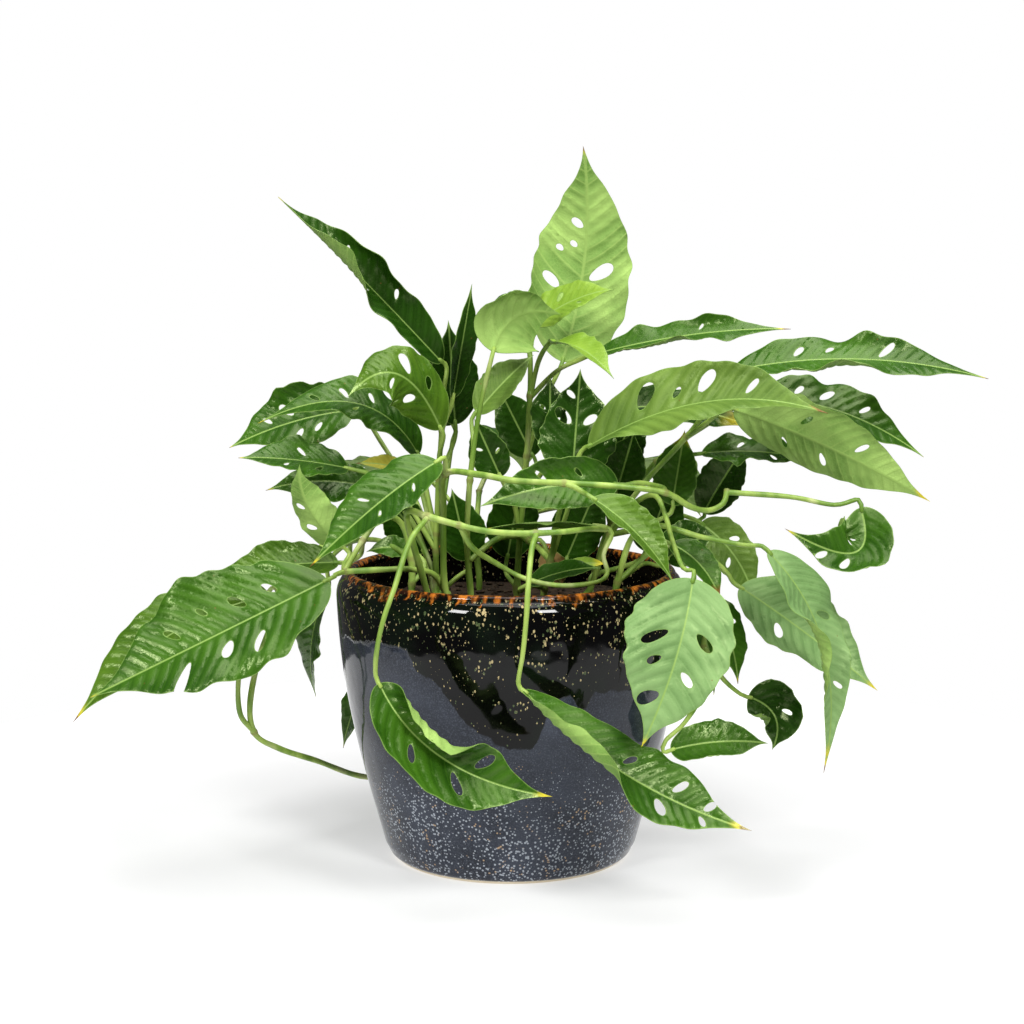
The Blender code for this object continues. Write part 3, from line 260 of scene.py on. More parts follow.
# Leaf blades: base, tip, bow of the midrib's middle, side that faces the light,
# width, place of the widest point, turn from base to tip, fold along the
# midrib, wave of the margin
LEAVES = {
    "top_tall": ((32, 18, 306), (45, 40, 438), (8, 8, 0), (0.1, 1, 0.1), 66, 0.36, 0, 12, 2),
    "upper_left": ((-42, 0, 307), (-137, -30, 407), (0, -4, 2), (0.5, -0.6, 0.6), 42, 0.5, 60, 35, 3),
    "ring_holes": ((-42, -20, 268), (-96, -50, 290), (2, -6, 24), (0, -0.85, 0.5), 40, 0.4, 0, -10, 2),
    "left_arch": ((-57, 10, 249), (-153, -15, 271), (10, 0, 22), (0, -0.5, 0.87), 40, 0.45, 0, 15, 3),
    "left_pale": ((-100, 45, 273), (-176, 30, 251), (0, 0, 4), (0, -0.7, 0.7), 50, 0.36, 0, 12, 2),
    "left_second": ((-100, 5, 241), (-165, -15, 250), (0, 0, 2), (0, -0.5, 0.87), 38, 0.4, 0, 12, 2),
    "left_dark": ((-86, 20, 227), (-152, 15, 226), (0, 0, 5), (0, -0.7, 0.7), 34, 0.36, 0, 12, 2),
    "left_small": ((-100, -42, 199), (-125, -45, 250), (-8, 0, 0), (0.2, 0.95, 0.2), 28, 0.36, 0, 20, 2),
    "mid_left": ((-42, -74, 255), (-114, -112, 199), (2, -4, 6), (-0.35, -0.75, 0.6), 42, 0.4, 0, 15, 2),
    "big_left": ((-107, -74, 185), (-240, -115, 124), (3, -5, 2), (-0.25, -0.75, 0.6), 76, 0.48, 0, 10, 3),
    "behind_left": ((-147, -20, 166), (-259, -70, 99), (-4, 2, 12), (-0.3, -0.7, 0.65), 56, 0.4, 0, 12, 2),
    "left_shelf": ((-104, -30, 188), (-183, -45, 179), (0, 0, 3), (0, -0.5, 0.87), 38, 0.4, 0, 12, 2),
    "pot_left": ((-116, 25, 160), (-125, 45, 88), (-6, 0, 0), (-0.8, -0.5, 0.2), 36, 0.36, 0, 15, 2),
    "low_left": ((-93, 77, 95), (-111, 87, 44), (-2, 2, 0), (-0.7, -0.6, 0.2), 26, 0.36, 0, 12, 1),
    "front_left": ((-74, -128, 135), (24, -142, 73), (-12, -5, -10), (0.2, -0.9, 0.4), 54, 0.5, 10, 25, 2),
    "front_middle": (
        (8, -128, 131), (135, -155, 57), (-6, -3, -8), (0.2, -0.65, 0.75), 46, 0.58, 40, 15, 2,
    ),
    "front_right": ((103, -122, 194), (73, -152, 104), (4, -6, 2), (0.1, -0.95, 0.25), 64, 0.4, 0, 12, 2),
    "cross_leaf": ((63, -62, 240), (-18, -86, 230), (0, 0, 5), (0, -0.9, 0.45), 36, 0.4, 0, 15, 1),
    "slant_leaf": ((47, -101, 237), (92, -122, 192), (3, -2, 3), (0.4, -0.5, 0.8), 34, 0.4, 0, 28, 1),
    "cup_leaf": ((-10, -50, 317), (30, -34, 338), (-6, 8, 9), (0, 1, 0.3), 50, 0.36, 0, -10, 2),
    "bright_leaf": ((14, -4, 330), (62, -20, 352), (0, 0, 4), (0, -0.6, 0.8), 34, 0.36, 0, 15, 1),
    "point_leaf": ((26, -20, 320), (60, -74, 303), (0, 0, 6), (0.2, -0.5, 0.85), 26, 0.36, 0, 25, 1),
    "blue_leaf": ((-20, -30, 279), (14, -22, 313), (0, -2, 2), (-0.3, -0.8, 0.5), 26, 0.4, 0, 15, 1),
    "wavy_leaf": ((53, -10, 313), (167, -30, 329), (0, 0, 4), (0.1, -0.55, 0.85), 28, 0.45, 0, 15, 3),
    "far_right": ((132, -40, 305), (279, -62, 302), (0, 0, 9), (0, -0.5, 0.87), 42, 0.42, 0, 12, 4),
    "long_keel": ((46, -52, 261), (180, -105, 286), (0, -5, 17), (0, -0.6, 0.8), 58, 0.42, 0, 35, 2),
    "inner_tall": ((37, -35, 240), (42, -25, 305), (0, 0, 0), (0.1, -0.95, 0.2), 48, 0.36, 0, 12, 2),
    "inner_dark": ((24, -24, 256), (24, -18, 300), (0, 0, 0), (-0.2, -0.95, 0.2), 24, 0.5, 0, 12, 1),
    "dark_holes": ((66, -18, 280), (149, -25, 268), (0, 2, 6), (0, -0.6, 0.8), 36, 0.4, 0, 12, 2),
    "right_upper": ((150, -12, 285), (250, -20, 251), (0, 0, 10), (0.1, -0.6, 0.8), 46, 0.42, 0, 12, 3),
    "right_lower": ((132, -50, 283), (245, -72, 231), (0, -2, 4), (0, 0.9, 0.3), 46, 0.4, 0, 10, 2),
    "right_wave": ((116, -18, 253), (183, -28, 250), (0, 0, 3), (0, -0.5, 0.87), 30, 0.45, 0, 12, 3),
    "upright_right": ((98, -22, 222), (105, -24, 268), (0, 0, 0), (-0.3, -0.9, 0.1), 30, 0.4, 0, 15, 1),
    "curled_right": (
        (206, -62, 226), (159, -84, 217), (18, -3, -20), (-0.3, -0.8, 0.5), 44, 0.45, 0, 15, 2,
    ),
    "hanging_right": ((149, -90, 204), (181, -108, 78), (16, 0, 8), (0.5, -0.6, 0.5), 38, 0.34, 0, 15, 2),
    "right_olive": ((139, -30, 173), (220, -52, 114), (0, 0, 2), (0.3, -0.8, 0.5), 50, 0.42, 0, 12, 2),
    "right_grey": ((117, -4, 208), (150, -12, 161), (4, 0, 4), (0.3, -0.9, 0.2), 32, 0.4, 0, 12, 1),
    "right_hang": ((122, -26, 165), (138, -36, 114), (3, 0, 2), (0.5, -0.8, 0.1), 26, 0.4, 0, 12, 1),
    "right_behind": ((113, 18, 150), (128, 14, 96), (4, 0, 2), (0.7, -0.7, 0.1), 32, 0.36, 0, 12, 1),
    "brown_tip": ((95, -60, 204), (123, -82, 173), (3, 0, 4), (0.3, -0.6, 0.6), 24, 0.36, 0, 15, 1),
    "low_right_dark": ((146, -20, 103), (160, -30, 72), (9, 0, 4), (0.3, -0.9, 0.2), 42, 0.42, 0, 12, 2),
    "low_right_pale": ((97, -46, 76), (154, -62, 84), (0, 0, 3), (0, -0.8, 0.5), 30, 0.45, 0, 12, 1),
    "dark_upright": ((-35, -8, 286), (-23, -14, 355), (0, 0, 0), (0.6, -0.7, 0.2), 20, 0.5, 0, 25, 1),
    "yellow_leaf": ((-62, 24, 236), (-96, 14, 243), (0, 0, 2), (0, -0.7, 0.7), 16, 0.4, 0, 25, 1),
    "low_inner": ((51, -60, 215), (-14, -66, 214), (0, 0, 3), (0, -0.3, -0.95), 24, 0.4, 0, 12, 1),
    "back_left": ((-60, 80, 230), (-120, 150, 200), (0, 6, 12), (-0.3, 0.5, 0.8), 58, 0.36, 0, 12, 2),
    "back_middle": ((0, 90, 250), (10, 170, 215), (0, 6, 14), (0, 0.5, 0.87), 54, 0.36, 0, 12, 2),
    "back_right": ((70, 80, 235), (130, 150, 190), (0, 6, 12), (0.3, 0.5, 0.8), 58, 0.36, 0, 12, 2),
    "back_low_left": ((-50, 125, 170), (-70, 158, 90), (0, 10, 4), (-0.2, 0.95, 0.3), 54, 0.36, 0, 12, 2),
    "back_low_right": ((60, 120, 165), (80, 152, 80), (0, 10, 4), (0.2, 0.95, 0.3), 54, 0.36, 0, 12, 2),
}

# Small blades deep in the plant, joined to the stem that bears them
INNER_LEAVES = {
    "inner_left": ((-34, 8, 268), (-38, 10, 332), (0, 0, 0), (0.2, -0.95, 0.2), 32, 0.42, 0, 12, 1),
    "inner_mid": ((-6, -12, 238), (-22, -14, 274), (0, 0, 0), (-0.2, -0.95, 0.2), 26, 0.4, 0, 12, 1),
    "inner_right": ((64, 0, 222), (76, -2, 266), (0, 0, 0), (-0.1, -0.95, 0.2), 32, 0.42, 0, 12, 1),
    "deep_right": ((34, -8, 186), (56, -16, 240), (0, 0, 0), (-0.1, -0.95, 0.2), 34, 0.4, 0, 12, 1),
    "deep_far_right": ((83, 2, 190), (101, -6, 240), (0, 0, 0), (-0.1, -0.95, 0.2), 34, 0.4, 0, 12, 1),
    "deep_left": ((-26, 4, 184), (-36, -4, 230), (0, 0, 0), (0.1, -0.95, 0.2), 30, 0.4, 0, 12, 1),
    "deep_far_left": ((-54, 20, 186), (-80, 10, 224), (0, 0, 4), (-0.2, -0.9, 0.3), 30, 0.4, 0, 12, 1),
    "under_front": ((10, -52, 178), (54, -62, 190), (0, 0, 3), (0, -0.4, 0.9), 24, 0.4, 0, 12, 1),
    "high_right": ((62, 24, 238), (82, 18, 284), (0, 0, 0), (-0.2, -0.95, 0.2), 34, 0.4, 0, 12, 1),
    "high_middle": ((14, 26, 246), (-8, 30, 290), (0, 0, 0), (0.1, -0.95, 0.2), 32, 0.4, 0, 12, 1),
    "low_right_inner": ((94, -28, 189), (124, -36, 205), (0, 0, 4), (0.1, -0.85, 0.5), 30, 0.4, 0, 12, 1),
    "deep_middle": ((-2, 26, 182), (8, 20, 238), (0, 0, 0), (0.1, -0.95, 0.2), 34, 0.4, 0, 12, 1),
    "high_left": ((-36, 26, 266), (-56, 22, 312), (0, 0, 0), (-0.1, -0.95, 0.2), 28, 0.4, 0, 12, 1),
    "far_right_inner": ((120, 14, 212), (146, 6, 256), (0, 0, 2), (0.1, -0.9, 0.3), 30, 0.4, 0, 12, 1),
    "dry_leaf": ((22, -22, 194), (32, -26, 171), (0, 0, 0), (-0.3, -0.9, 0.2), 20, 0.45, 0, 20, 1),
    "yellow_tip": ((35, -40, 188), (58, -42, 189), (0, 0, 1), (0, -0.8, 0.6), 9, 0.4, 0, 15, 0),
    "rim_leaf": ((-60, -18, 192), (-88, -14, 192), (0, 0, 3), (0, -0.8, 0.6), 16, 0.4, 0, 15, 1),
}

# Stems. Each node is a list of runs that cross or meet each other: the points
# of the run, then the leaf that it carries or None. A run that starts in the
# soil is a vine, and the others are leaf stalks or side vines.
STEMS = {
    "trailing": (
        (((-48, -52, 140), (-50, -54, 176), (-56, -62, 200), (-60, -76, 220), (-58, -88, 228),
          (-47, -98, 226), (-29, -105, 222), (-13, -108, 219), (8, -110, 218), (29, -104, 218),
          (46, -92, 218), (56, -80, 216)), None),
        (((-47, -98, 226), (-57, -118, 214), (-65, -129, 190), (-71, -133, 173), (-75, -132, 155)),
         "front_left"),
        (((15, -109, 218), (12, -122, 210), (10, -132, 190), (9, -133, 173), (7, -131, 152)),
         "front_middle"),
        (((-29, -105, 222), (-22, -96, 208), (-9, -84, 197), (9, -82, 187), (30, -82, 183), (50, -76, 184),
          (57, -68, 188), (55, -62, 198), (60, -60, 210)), "low_inner"),
    ),
    "cross": (
        (((-38, -34, 140), (-40, -36, 180), (-40, -44, 222), (-38, -62, 246), (-17, -82, 248),
          (2, -92, 246), (31, -96, 245), (63, -96, 243), (89, -92, 239), (104, -86, 230), (115, -80, 227),
          (124, -73, 230), (127, -67, 237)), None),
        (((-38, -62, 246), (-38, -68, 251)), "mid_left"),
        (((126, -68, 236), (164, -66, 233), (190, -64, 228)), "curled_right"),
        (((89, -92, 239), (88, -76, 240), (76, -63, 241)), "cross_leaf"),
        (((31, -96, 245), (37, -99, 243), (42, -100, 240)), "slant_leaf"),
    ),
    "left": (
        (((-60, -26, 140), (-60, -26, 190), (-66, -28, 212), (-78, -36, 216), (-88, -48, 204),
          (-98, -62, 188)), None),
        (((-38, -20, 140), (-38, -24, 166), (-46, -38, 182), (-60, -48, 187), (-78, -56, 188),
          (-98, -62, 188)), None),
        (((-98, -62, 188), (-103, -68, 187)), "big_left"),
        (((-98, -62, 188), (-99, -50, 190)), "left_small"),
        (((-88, -48, 204), (-90, -38, 194), (-97, -32, 189)), "left_shelf"),
        (((-60, -26, 190), (-80, -8, 198), (-100, 8, 194), (-114, 18, 180)), "pot_left"),
        (((-60, -26, 174), (-52, -22, 184)), "rim_leaf"),
    ),
    "upper_left": (
        (((-46, 6, 140), (-46, 4, 190), (-44, -2, 235), (-42, -4, 266), (-41, -2, 287)), "upper_left"),
        (((-44, -2, 235), (-43, -10, 252)), "ring_holes"),
        (((-46, 4, 200), (-52, 8, 228)), "left_arch"),
        (((-46, 4, 190), (-62, 20, 225), (-82, 36, 255)), "left_pale"),
        (((-46, 4, 190), (-66, 6, 222), (-84, 6, 236)), "left_second"),
        (((-46, 5, 172), (-60, 12, 205), (-74, 18, 220)), "left_dark"),
        (((-46, 4, 190), (-54, 18, 220)), "yellow_leaf"),
        (((-42, -4, 266), (-38, -6, 276)), "dark_upright"),
        (((-44, -2, 235), (-36, 6, 254)), "inner_left"),
        (((-46, 4, 190), (-40, 16, 230), (-36, 25, 256)), "high_left"),
        (((-46, 6, 160), (-50, 14, 172)), "deep_far_left"),
        (((-46, 6, 160), (-34, 6, 172)), "deep_left"),
    ),
    "centre": (
        (((4, 4, 140), (6, 2, 200), (10, -6, 250), (12, -9, 290)), None),
        (((-24, -24, 140), (-26, -34, 200), (-24, -44, 240), (-18, -48, 283)), "cup_leaf"),
        (((6, 2, 200), (-8, -14, 200), (-24, -32, 190)), None),
        (((12, -9, 286), (12, -8, 310)), "bright_leaf"),
        (((12, -9, 286), (17, -10, 308)), "point_leaf"),
        (((10, -6, 250), (20, 8, 280)), "top_tall"),
        (((-24, -44, 240), (-22, -36, 260)), "blue_leaf"),
        (((12, -9, 286), (28, -8, 302), (42, -8, 309)), "wavy_leaf"),
        (((20, -28, 140), (24, -36, 190), (30, -45, 225), (37, -48, 246)), "long_keel"),
        (((6, 2, 200), (16, -16, 196), (24, -36, 190)), None),
        (((24, -36, 190), (34, -36, 220)), "inner_tall"),
        (((8, -2, 225), (20, -16, 242)), "inner_dark"),
        (((6, 2, 200), (2, -4, 222)), "inner_mid"),
        (((12, -8, 198), (18, -18, 200)), "dry_leaf"),
        (((24, -36, 184), (28, -38, 186)), "yellow_tip"),
        (((6, 2, 165), (20, -4, 174)), "deep_right"),
        (((6, 2, 165), (-2, 18, 172)), "deep_middle"),
        (((8, -2, 225), (12, 14, 234)), "high_middle"),
        (((21, -30, 172), (14, -42, 176)), "under_front"),
    ),
    "right": (
        (((44, -24, 140), (48, -25, 170), (60, -30, 205), (78, -33, 234), (105, -36, 265), (118, -38, 284)),
         "far_right"),
        (((105, -36, 265), (118, -46, 276)), "right_lower"),
        (((50, 8, 140), (54, 8, 180), (62, 8, 205), (90, 6, 245), (125, -2, 272)), "right_upper"),
        (((54, 8, 175), (50, -8, 175), (49, -25, 172)), None),
        (((60, -30, 205), (82, -24, 210)), "upright_right"),
        (((62, 8, 205), (63, 4, 214)), "inner_right"),
        (((62, 8, 205), (62, 18, 224)), "high_right"),
        (((54, 8, 175), (72, 6, 180)), "deep_far_right"),
        (((62, 8, 205), (92, 12, 204)), "far_right_inner"),
        (((62, 8, 205), (54, -8, 250)), "dark_holes"),
        (((90, 6, 245), (104, -8, 251)), "right_wave"),
        (((60, -30, 205), (74, -44, 226), (85, -60, 233), (90, -80, 224), (93, -94, 212), (98, -114, 199)),
         "front_right"),
        (((60, -30, 205), (78, -46, 210)), "brown_tip"),
        (((62, 8, 205), (92, 4, 214)), "right_grey"),
    ),
    "hanging_right": (
        (((62, -46, 140), (64, -50, 180), (72, -58, 208), (86, -72, 217), (111, -84, 212), (134, -88, 208)),
         "hanging_right"),
        (((64, -50, 180), (90, -42, 200), (115, -36, 195), (130, -32, 183)), "right_olive"),
        (((115, -36, 195), (121, -28, 182)), "right_hang"),
        (((64, -50, 180), (80, -34, 188)), "low_right_inner"),
        (((90, -42, 200), (104, -10, 196), (118, 6, 186), (122, 6, 160), (120, 0, 130), (121, -6, 120)),
         None),
        (((120, 0, 130), (130, -14, 114)), "low_right_dark"),
        (((120, 0, 130), (117, -16, 104), (106, -34, 90), (94, -43, 81)), "low_right_pale"),
        (((104, -10, 196), (112, 12, 186), (115, 18, 170)), "right_behind"),
    ),
    "back": (
        (((-20, 44, 140), (-22, 46, 190), (-20, 60, 220)), None),
        (((-22, 46, 190), (-40, 58, 215)), "back_left"),
        (((-20, 60, 220), (-10, 76, 240)), "back_middle"),
        (((-22, 46, 190), (10, 56, 205), (45, 68, 222)), "back_right"),
        (((-22, 46, 190), (-30, 80, 200), (-44, 110, 190)), "back_low_left"),
        (((10, 56, 205), (35, 84, 205), (52, 108, 188)), "back_low_right"),
        (((-22, 46, 190), (-60, 46, 200), (-96, 50, 200), (-124, 40, 182), (-150, 14, 140),
          (-160, -10, 104), (-160, 0, 76), (-146, 14, 62), (-124, 30, 50), (-96, 66, 30), (-60, 96, 22)),
         None),
        (((-160, 0, 76), (-167, -14, 92), (-166, -18, 120), (-158, -8, 150), (-147, -6, 168)),
         "behind_left"),
        (((-96, 50, 200), (-104, 70, 180), (-98, 78, 130)), "low_left"),
    ),
}

# How each leaf looks: the shade of its upper side, how much of its tip is
# yellow and how much is brown, as shares of its length
LOOKS = {
    "top_tall": ("fresh", 0.05, 0.06),
    "upper_left": ("deep", 0.03, 0),
    "ring_holes": ("fresh", 0.0, 0),
    "left_arch": ("mid", 0.04, 0.02),
    "left_pale": ("mid", 0.03, 0.02),
    "left_small": ("fresh", 0.0, 0),
    "behind_left": ("fresh", 0.05, 0.03),
    "left_shelf": ("fresh", 0.04, 0.05),
    "front_left": ("mid", 0.05, 0),
    "cup_leaf": ("mid", 0.0, 0),
    "bright_leaf": ("lime", 0.0, 0),
    "point_leaf": ("lime", 0.0, 0),
    "blue_leaf": ("matte", 0.0, 0),
    "long_keel": ("matte", 0.04, 0.06),
    # The darkest green of these two inner blades is painted shade of the inner foliage.
    "inner_tall": ("deep", 0.0, 0),
    "inner_dark": ("deep", 0.0, 0),
    "dark_holes": ("deep", 0.2, 0.02),
    "right_upper": ("mid", 0.03, 0.02),
    "right_lower": ("mid", 0.05, 0),
    "far_right": ("mid", 0.03, 0.02),
    "upright_right": ("mid", 0.15, 0),
    "right_olive": ("pale", 0.06, 0),
    "right_grey": ("matte", 0.0, 0),
    "brown_tip": ("mid", 0.12, 0.22),
    "low_right_dark": ("deep", 0.0, 0),
    "low_right_pale": ("mid", 0.0, 0),
    "dark_upright": ("deep", 0.0, 0),
    "yellow_leaf": ("yellow", 0.0, 0.1),
    "slant_leaf": ("fresh", 0.0, 0),
    "cross_leaf": ("mid", 0.0, 0),
    "front_right": ("pale", 0.04, 0.0),
    "front_middle": ("mid", 0.05, 0.03),
    "hanging_right": ("pale", 0.08, 0.03),
    "dry_leaf": ("dry", 0.0, 0.2),
    "yellow_tip": ("lime", 0.3, 0),
    "rim_leaf": ("mid", 0.0, 0),
}
PLAIN_LOOK = ("mid", 0.04, 0.02)
# Blades deep in the plant take the darkest green as painted shade of the inner foliage.
INNER_PAINTED_SHADE_LOOK = ("deep", 0.0, 0)
INNER_SHADES = ("deep", "mid", "lime", "dry")

# Margins that roll up over the blade: side, where the roll starts as a share of
# the half-width, its angle at the margin, and the stretch of the midrib
ROLLS = {
    "front_left": ((-1, 0.12, 175, 0.0, 0.6), (1, 0.5, 40, 0.0, 0.5)),
    "front_middle": ((1, 0.05, 165, -0.3, 0.46), (-1, 0.4, -35, 0.5, 0.9)),
    "upper_left": ((1, 0.3, 110, 0.3, 0.85), (-1, 0.3, 70, 0.55, 1.1)),
    "cup_leaf": ((1, 0.35, -75, 0.2, 1.1), (-1, 0.5, -50, 0.0, 0.8)),
    "top_tall": ((1, 0.35, -60, 0.0, 0.6), (-1, 0.5, 40, 0.5, 1.1)),
    "curled_right": ((1, 0.35, 75, 0.0, 0.5), (-1, 0.4, 80, 0.45, 1.0)),
    "hanging_right": ((1, 0.2, 110, 0.35, 1.1), (-1, 0.3, 100, 0.55, 1.1)),
    "low_right_dark": ((1, 0.2, 110, 0.0, 1.1), (-1, 0.3, 70, 0.3, 1.1)),
    "right_upper": ((-1, 0.4, 70, 0.6, 1.1), (1, 0.4, 90, 0.65, 1.1)),
    "far_right": ((1, 0.4, 60, 0.1, 0.5), (-1, 0.4, 70, 0.45, 0.8)),
    "wavy_leaf": ((1, 0.3, 80, 0.1, 0.45), (-1, 0.3, 80, 0.4, 0.8)),
    "right_olive": ((-1, 0.4, 60, 0.0, 0.6), (1, 0.5, 60, 0.5, 1.0)),
    "big_left": ((1, 0.5, 30, 0.1, 0.5), (-1, 0.5, -35, 0.3, 0.8)),
    "behind_left": ((-1, 0.4, 60, 0.3, 0.8),),
    "left_pale": ((1, 0.4, 60, 0.1, 0.6), (-1, 0.4, -40, 0.3, 0.9)),
    "left_arch": ((-1, 0.4, -50, 0.1, 0.7),),
    "front_right": ((1, 0.55, -30, 0.1, 0.8), (-1, 0.55, 30, 0.2, 0.7)),
    "cross_leaf": ((1, 0.3, 60, 0.2, 0.8),),
    "slant_leaf": ((-1, 0.3, 50, 0.2, 0.8),),
    "right_lower": ((1, 0.4, -50, 0.3, 0.9), (-1, 0.4, 40, 0.1, 0.6)),
    "long_keel": ((1, 0.4, -50, 0.2, 0.7), (-1, 0.4, 40, 0.5, 1.0)),
    "left_shelf": ((1, 0.3, 60, 0.2, 0.8),),
    "low_right_pale": ((1, 0.3, 70, 0.1, 0.8),),
    "mid_left": ((1, 0.5, -35, 0.1, 0.8),),
}
ROLL_EASE = 0.14

# Colours of the upper sides: dark, light and roughness
SHADES = {
    "deep": ((0.005, 0.028, 0.001), (0.024, 0.085, 0.005), 0.26),
    "mid": ((0.011, 0.055, 0.003), (0.052, 0.15, 0.009), 0.28),
    "fresh": ((0.028, 0.085, 0.005), (0.098, 0.2, 0.014), 0.28),
    "lime": ((0.14, 0.27, 0.02), (0.28, 0.44, 0.05), 0.34),
    "matte": ((0.07, 0.145, 0.018), (0.165, 0.275, 0.042), 0.42),
    "pale": ((0.12, 0.24, 0.07), (0.25, 0.41, 0.15), 0.38),
    "yellow": ((0.34, 0.33, 0.03), (0.55, 0.5, 0.07), 0.45),
    "dry": ((0.3, 0.17, 0.06), (0.5, 0.31, 0.12), 0.7),
}
UNDER_DARK = (0.14, 0.27, 0.05)
UNDER_LIGHT = (0.36, 0.54, 0.14)
MIDRIB = (0.27, 0.42, 0.10)
PALE_EDGE = (0.22, 0.36, 0.08)
LEAF_SHEEN = (0.85, 1.0, 0.5, 1)
YELLOW = (0.62, 0.52, 0.03)
BROWN = (0.18, 0.075, 0.02)

# Colours of stems, glaze, clay and soil
STEM_DARK = (0.14, 0.27, 0.03)
STEM_LIGHT = (0.40, 0.55, 0.11)
STEM_PALE = (0.60, 0.64, 0.28)
STEM_JOINT = (0.24, 0.20, 0.07)
SLATE_DARK = (0.017, 0.020, 0.029)
SLATE_LIGHT = (0.040, 0.047, 0.067)
SLATE_GRAIN = (0.085, 0.098, 0.130)
DOT_BLUE = (0.42, 0.46, 0.52)
DOT_WARM = (0.50, 0.34, 0.20)
BLACK = (0.0010, 0.0010, 0.0011)
BLACK_GREEN = (0.003, 0.007, 0.003)
SPECK_GREEN = (0.07, 0.10, 0.04)
SPECK_CREAM = (0.50, 0.40, 0.20)
RUST_DARK = (0.030, 0.008, 0.003)
RUST_LIGHT = (0.55, 0.17, 0.02)
CLAY_DARK = (0.70, 0.58, 0.42)
CLAY_LIGHT = (0.86, 0.78, 0.62)
SOIL_DARK = (0.012, 0.008, 0.005)
SOIL_LIGHT = (0.07, 0.045, 0.028)
SOIL_DRY = (0.10, 0.06, 0.035)

# Sockets of a Mix node that mixes colours
MIX_SHARE = 0
MIX_FIRST = 6
MIX_SECOND = 7
MIX_RESULT = 2

# Studio lights: place, size and power, in metres and watts
LIGHTS = (
    ("top_light", (0.25, -0.2, 2.1), (1.6, 1.6), 40),
    ("left_light", (-1.25, -1.75, 1.55), (0.50, 0.52), 34),
    ("right_light", (0.95, -1.9, 1.75), (0.56, 0.50), 38),
)
LIGHTS_AIM = (0, 0, 0.2)
WHITE = (1, 1, 1, 1)
FLOOR_GREY = (0.45, 0.45, 0.45, 1)
# Painted light of the floor: its glow near the middle and at the edge, and the span in metres over which it
# rises.
FLOOR_GLOW = 0.50
EDGE_GLOW = 0.75
GLOW_SPAN = (0.22, 0.46)
ROOM_GLOW = 0.12
FLOOR_RINGS = (0, 200, 400, 520)
FLOOR_TURNS = 96

# Camera: place in metres, pitch down in degrees, lens in millimetres
CAMERA_PLACE = (0.001, -1.4, 0.415)
CAMERA_PITCH = 8.146
CAMERA_LENS = 80.79
CAMERA_SENSOR = 36.0
CAMERA_REACH = 50.0

# The lower edge of the black glaze: degrees round from the front, height
DRIP_LINE = (
    (-180, 120), (-160, 132), (-140, 118), (-122, 136), (-100, 128), (-80, 141), (-64, 144), (-46, 147),
    (-34, 146), (-32, 135), (-26, 130), (-21, 121), (-15, 104), (-8, 96), (-1, 90), (8, 90), (11, 104),
    (14, 116), (20, 123), (23, 110), (25, 110), (28, 121), (40, 118), (54, 126), (62, 108), (70, 112),
    (84, 128), (100, 122), (116, 138), (134, 126), (150, 112), (166, 126), (180, 120),
)


# Meshes

class Shape:
    """Points, faces, material numbers and named values of one mesh."""

    def __init__(self):
        self.points = []
        self.faces = []
        self.kinds = []
        self.values = {}
        self.count = 0

    def add(self, points, faces, kinds, **values):
        """Add points in millimetres with their faces. Values are per point."""
        for name, given in values.items():
            column = self.values.setdefault(name, [])
            missing = self.count - sum(len(part) for part in column)
            if missing:
                column.append(np.zeros(missing))
            column.append(np.asarray(given, float))
        self.points.append(points)
        self.faces += [tuple(corner + self.count for corner in face) for face in faces]
        self.kinds += kinds if isinstance(kinds, list) else [kinds] * len(faces)
        self.count += len(points)

    def mesh(self, name, materials):
        mesh = bpy.data.meshes.new(name)
        mesh.from_pydata((np.concatenate(self.points) * MM).tolist(), [], self.faces)
        for material in materials:
            mesh.materials.append(material)
        mesh.polygons.foreach_set("material_index", self.kinds)
        mesh.polygons.foreach_set("use_smooth", [True] * len(self.faces))
        for value, column in self.values.items():
            data = np.concatenate(column)
            data = np.concatenate([data, np.zeros(self.count - len(data))])
            mesh.attributes.new(value, "FLOAT", "POINT").data.foreach_set("value", data.astype(np.float32))
        mesh.update()
        mesh.set_sharp_from_angle(angle=math.radians(SHARP_ANGLE))
        return mesh


def placed(name, data):
    """A new object in the scene."""
    item = bpy.data.objects.new(name, data)
    bpy.context.scene.collection.objects.link(item)
    return item


def piece(name, shape, materials, node):
    """An object of the plant that stands for one CAD node."""
    item = placed(name, shape.mesh(name, materials))
    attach(item, "root")
    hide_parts(node)
    return item


def lengths(rows):
    return np.linalg.norm(rows, axis=1, keepdims=True)


def unit(rows):
    return rows / np.maximum(lengths(rows), 1e-9)


def smoothstep(low, high, value):
    share = np.clip((value - low) / (high - low), 0, 1)
    return share * share * (3 - 2 * share)


def wobble(seed, places, waves):
    """A smooth random curve between about -1 and 1."""
    chance = random.Random(seed)
    total = np.zeros_like(places)
    for wave in waves:
        total += math.sqrt(1 / len(waves)) * np.sin(math.tau * (wave * places + chance.random()))
    return total


def inside(points, loop):
    """Which flat points lie in a closed outline."""
    x, y = points[:, 0], points[:, 1]
    odd = np.zeros(len(points), bool)
    for (x1, y1), (x2, y2) in zip(loop, np.roll(loop, -1, axis=0)):
        if y1 != y2:
            odd ^= ((y1 > y) != (y2 > y)) & (x < x1 + (y - y1) * (x2 - x1) / (y2 - y1))
    return odd


def within(points, outline, holes):
    """Which flat points lie in an outline and in none of its holes."""
    kept = inside(points, outline)
    for hole in holes:
        kept &= ~inside(points, hole)
    return kept


def nearest(points, others):
    """The distance from each flat point to the nearest of the others."""
    best = np.full(len(points), 1e9)
    for start in range(0, len(points), BLOCK):
        block = points[start:start + BLOCK, None]
        gaps = np.hypot(block[..., 0] - others[:, 0], block[..., 1] - others[:, 1])
        best[start:start + BLOCK] = gaps.min(1)
    return best


# Leaves

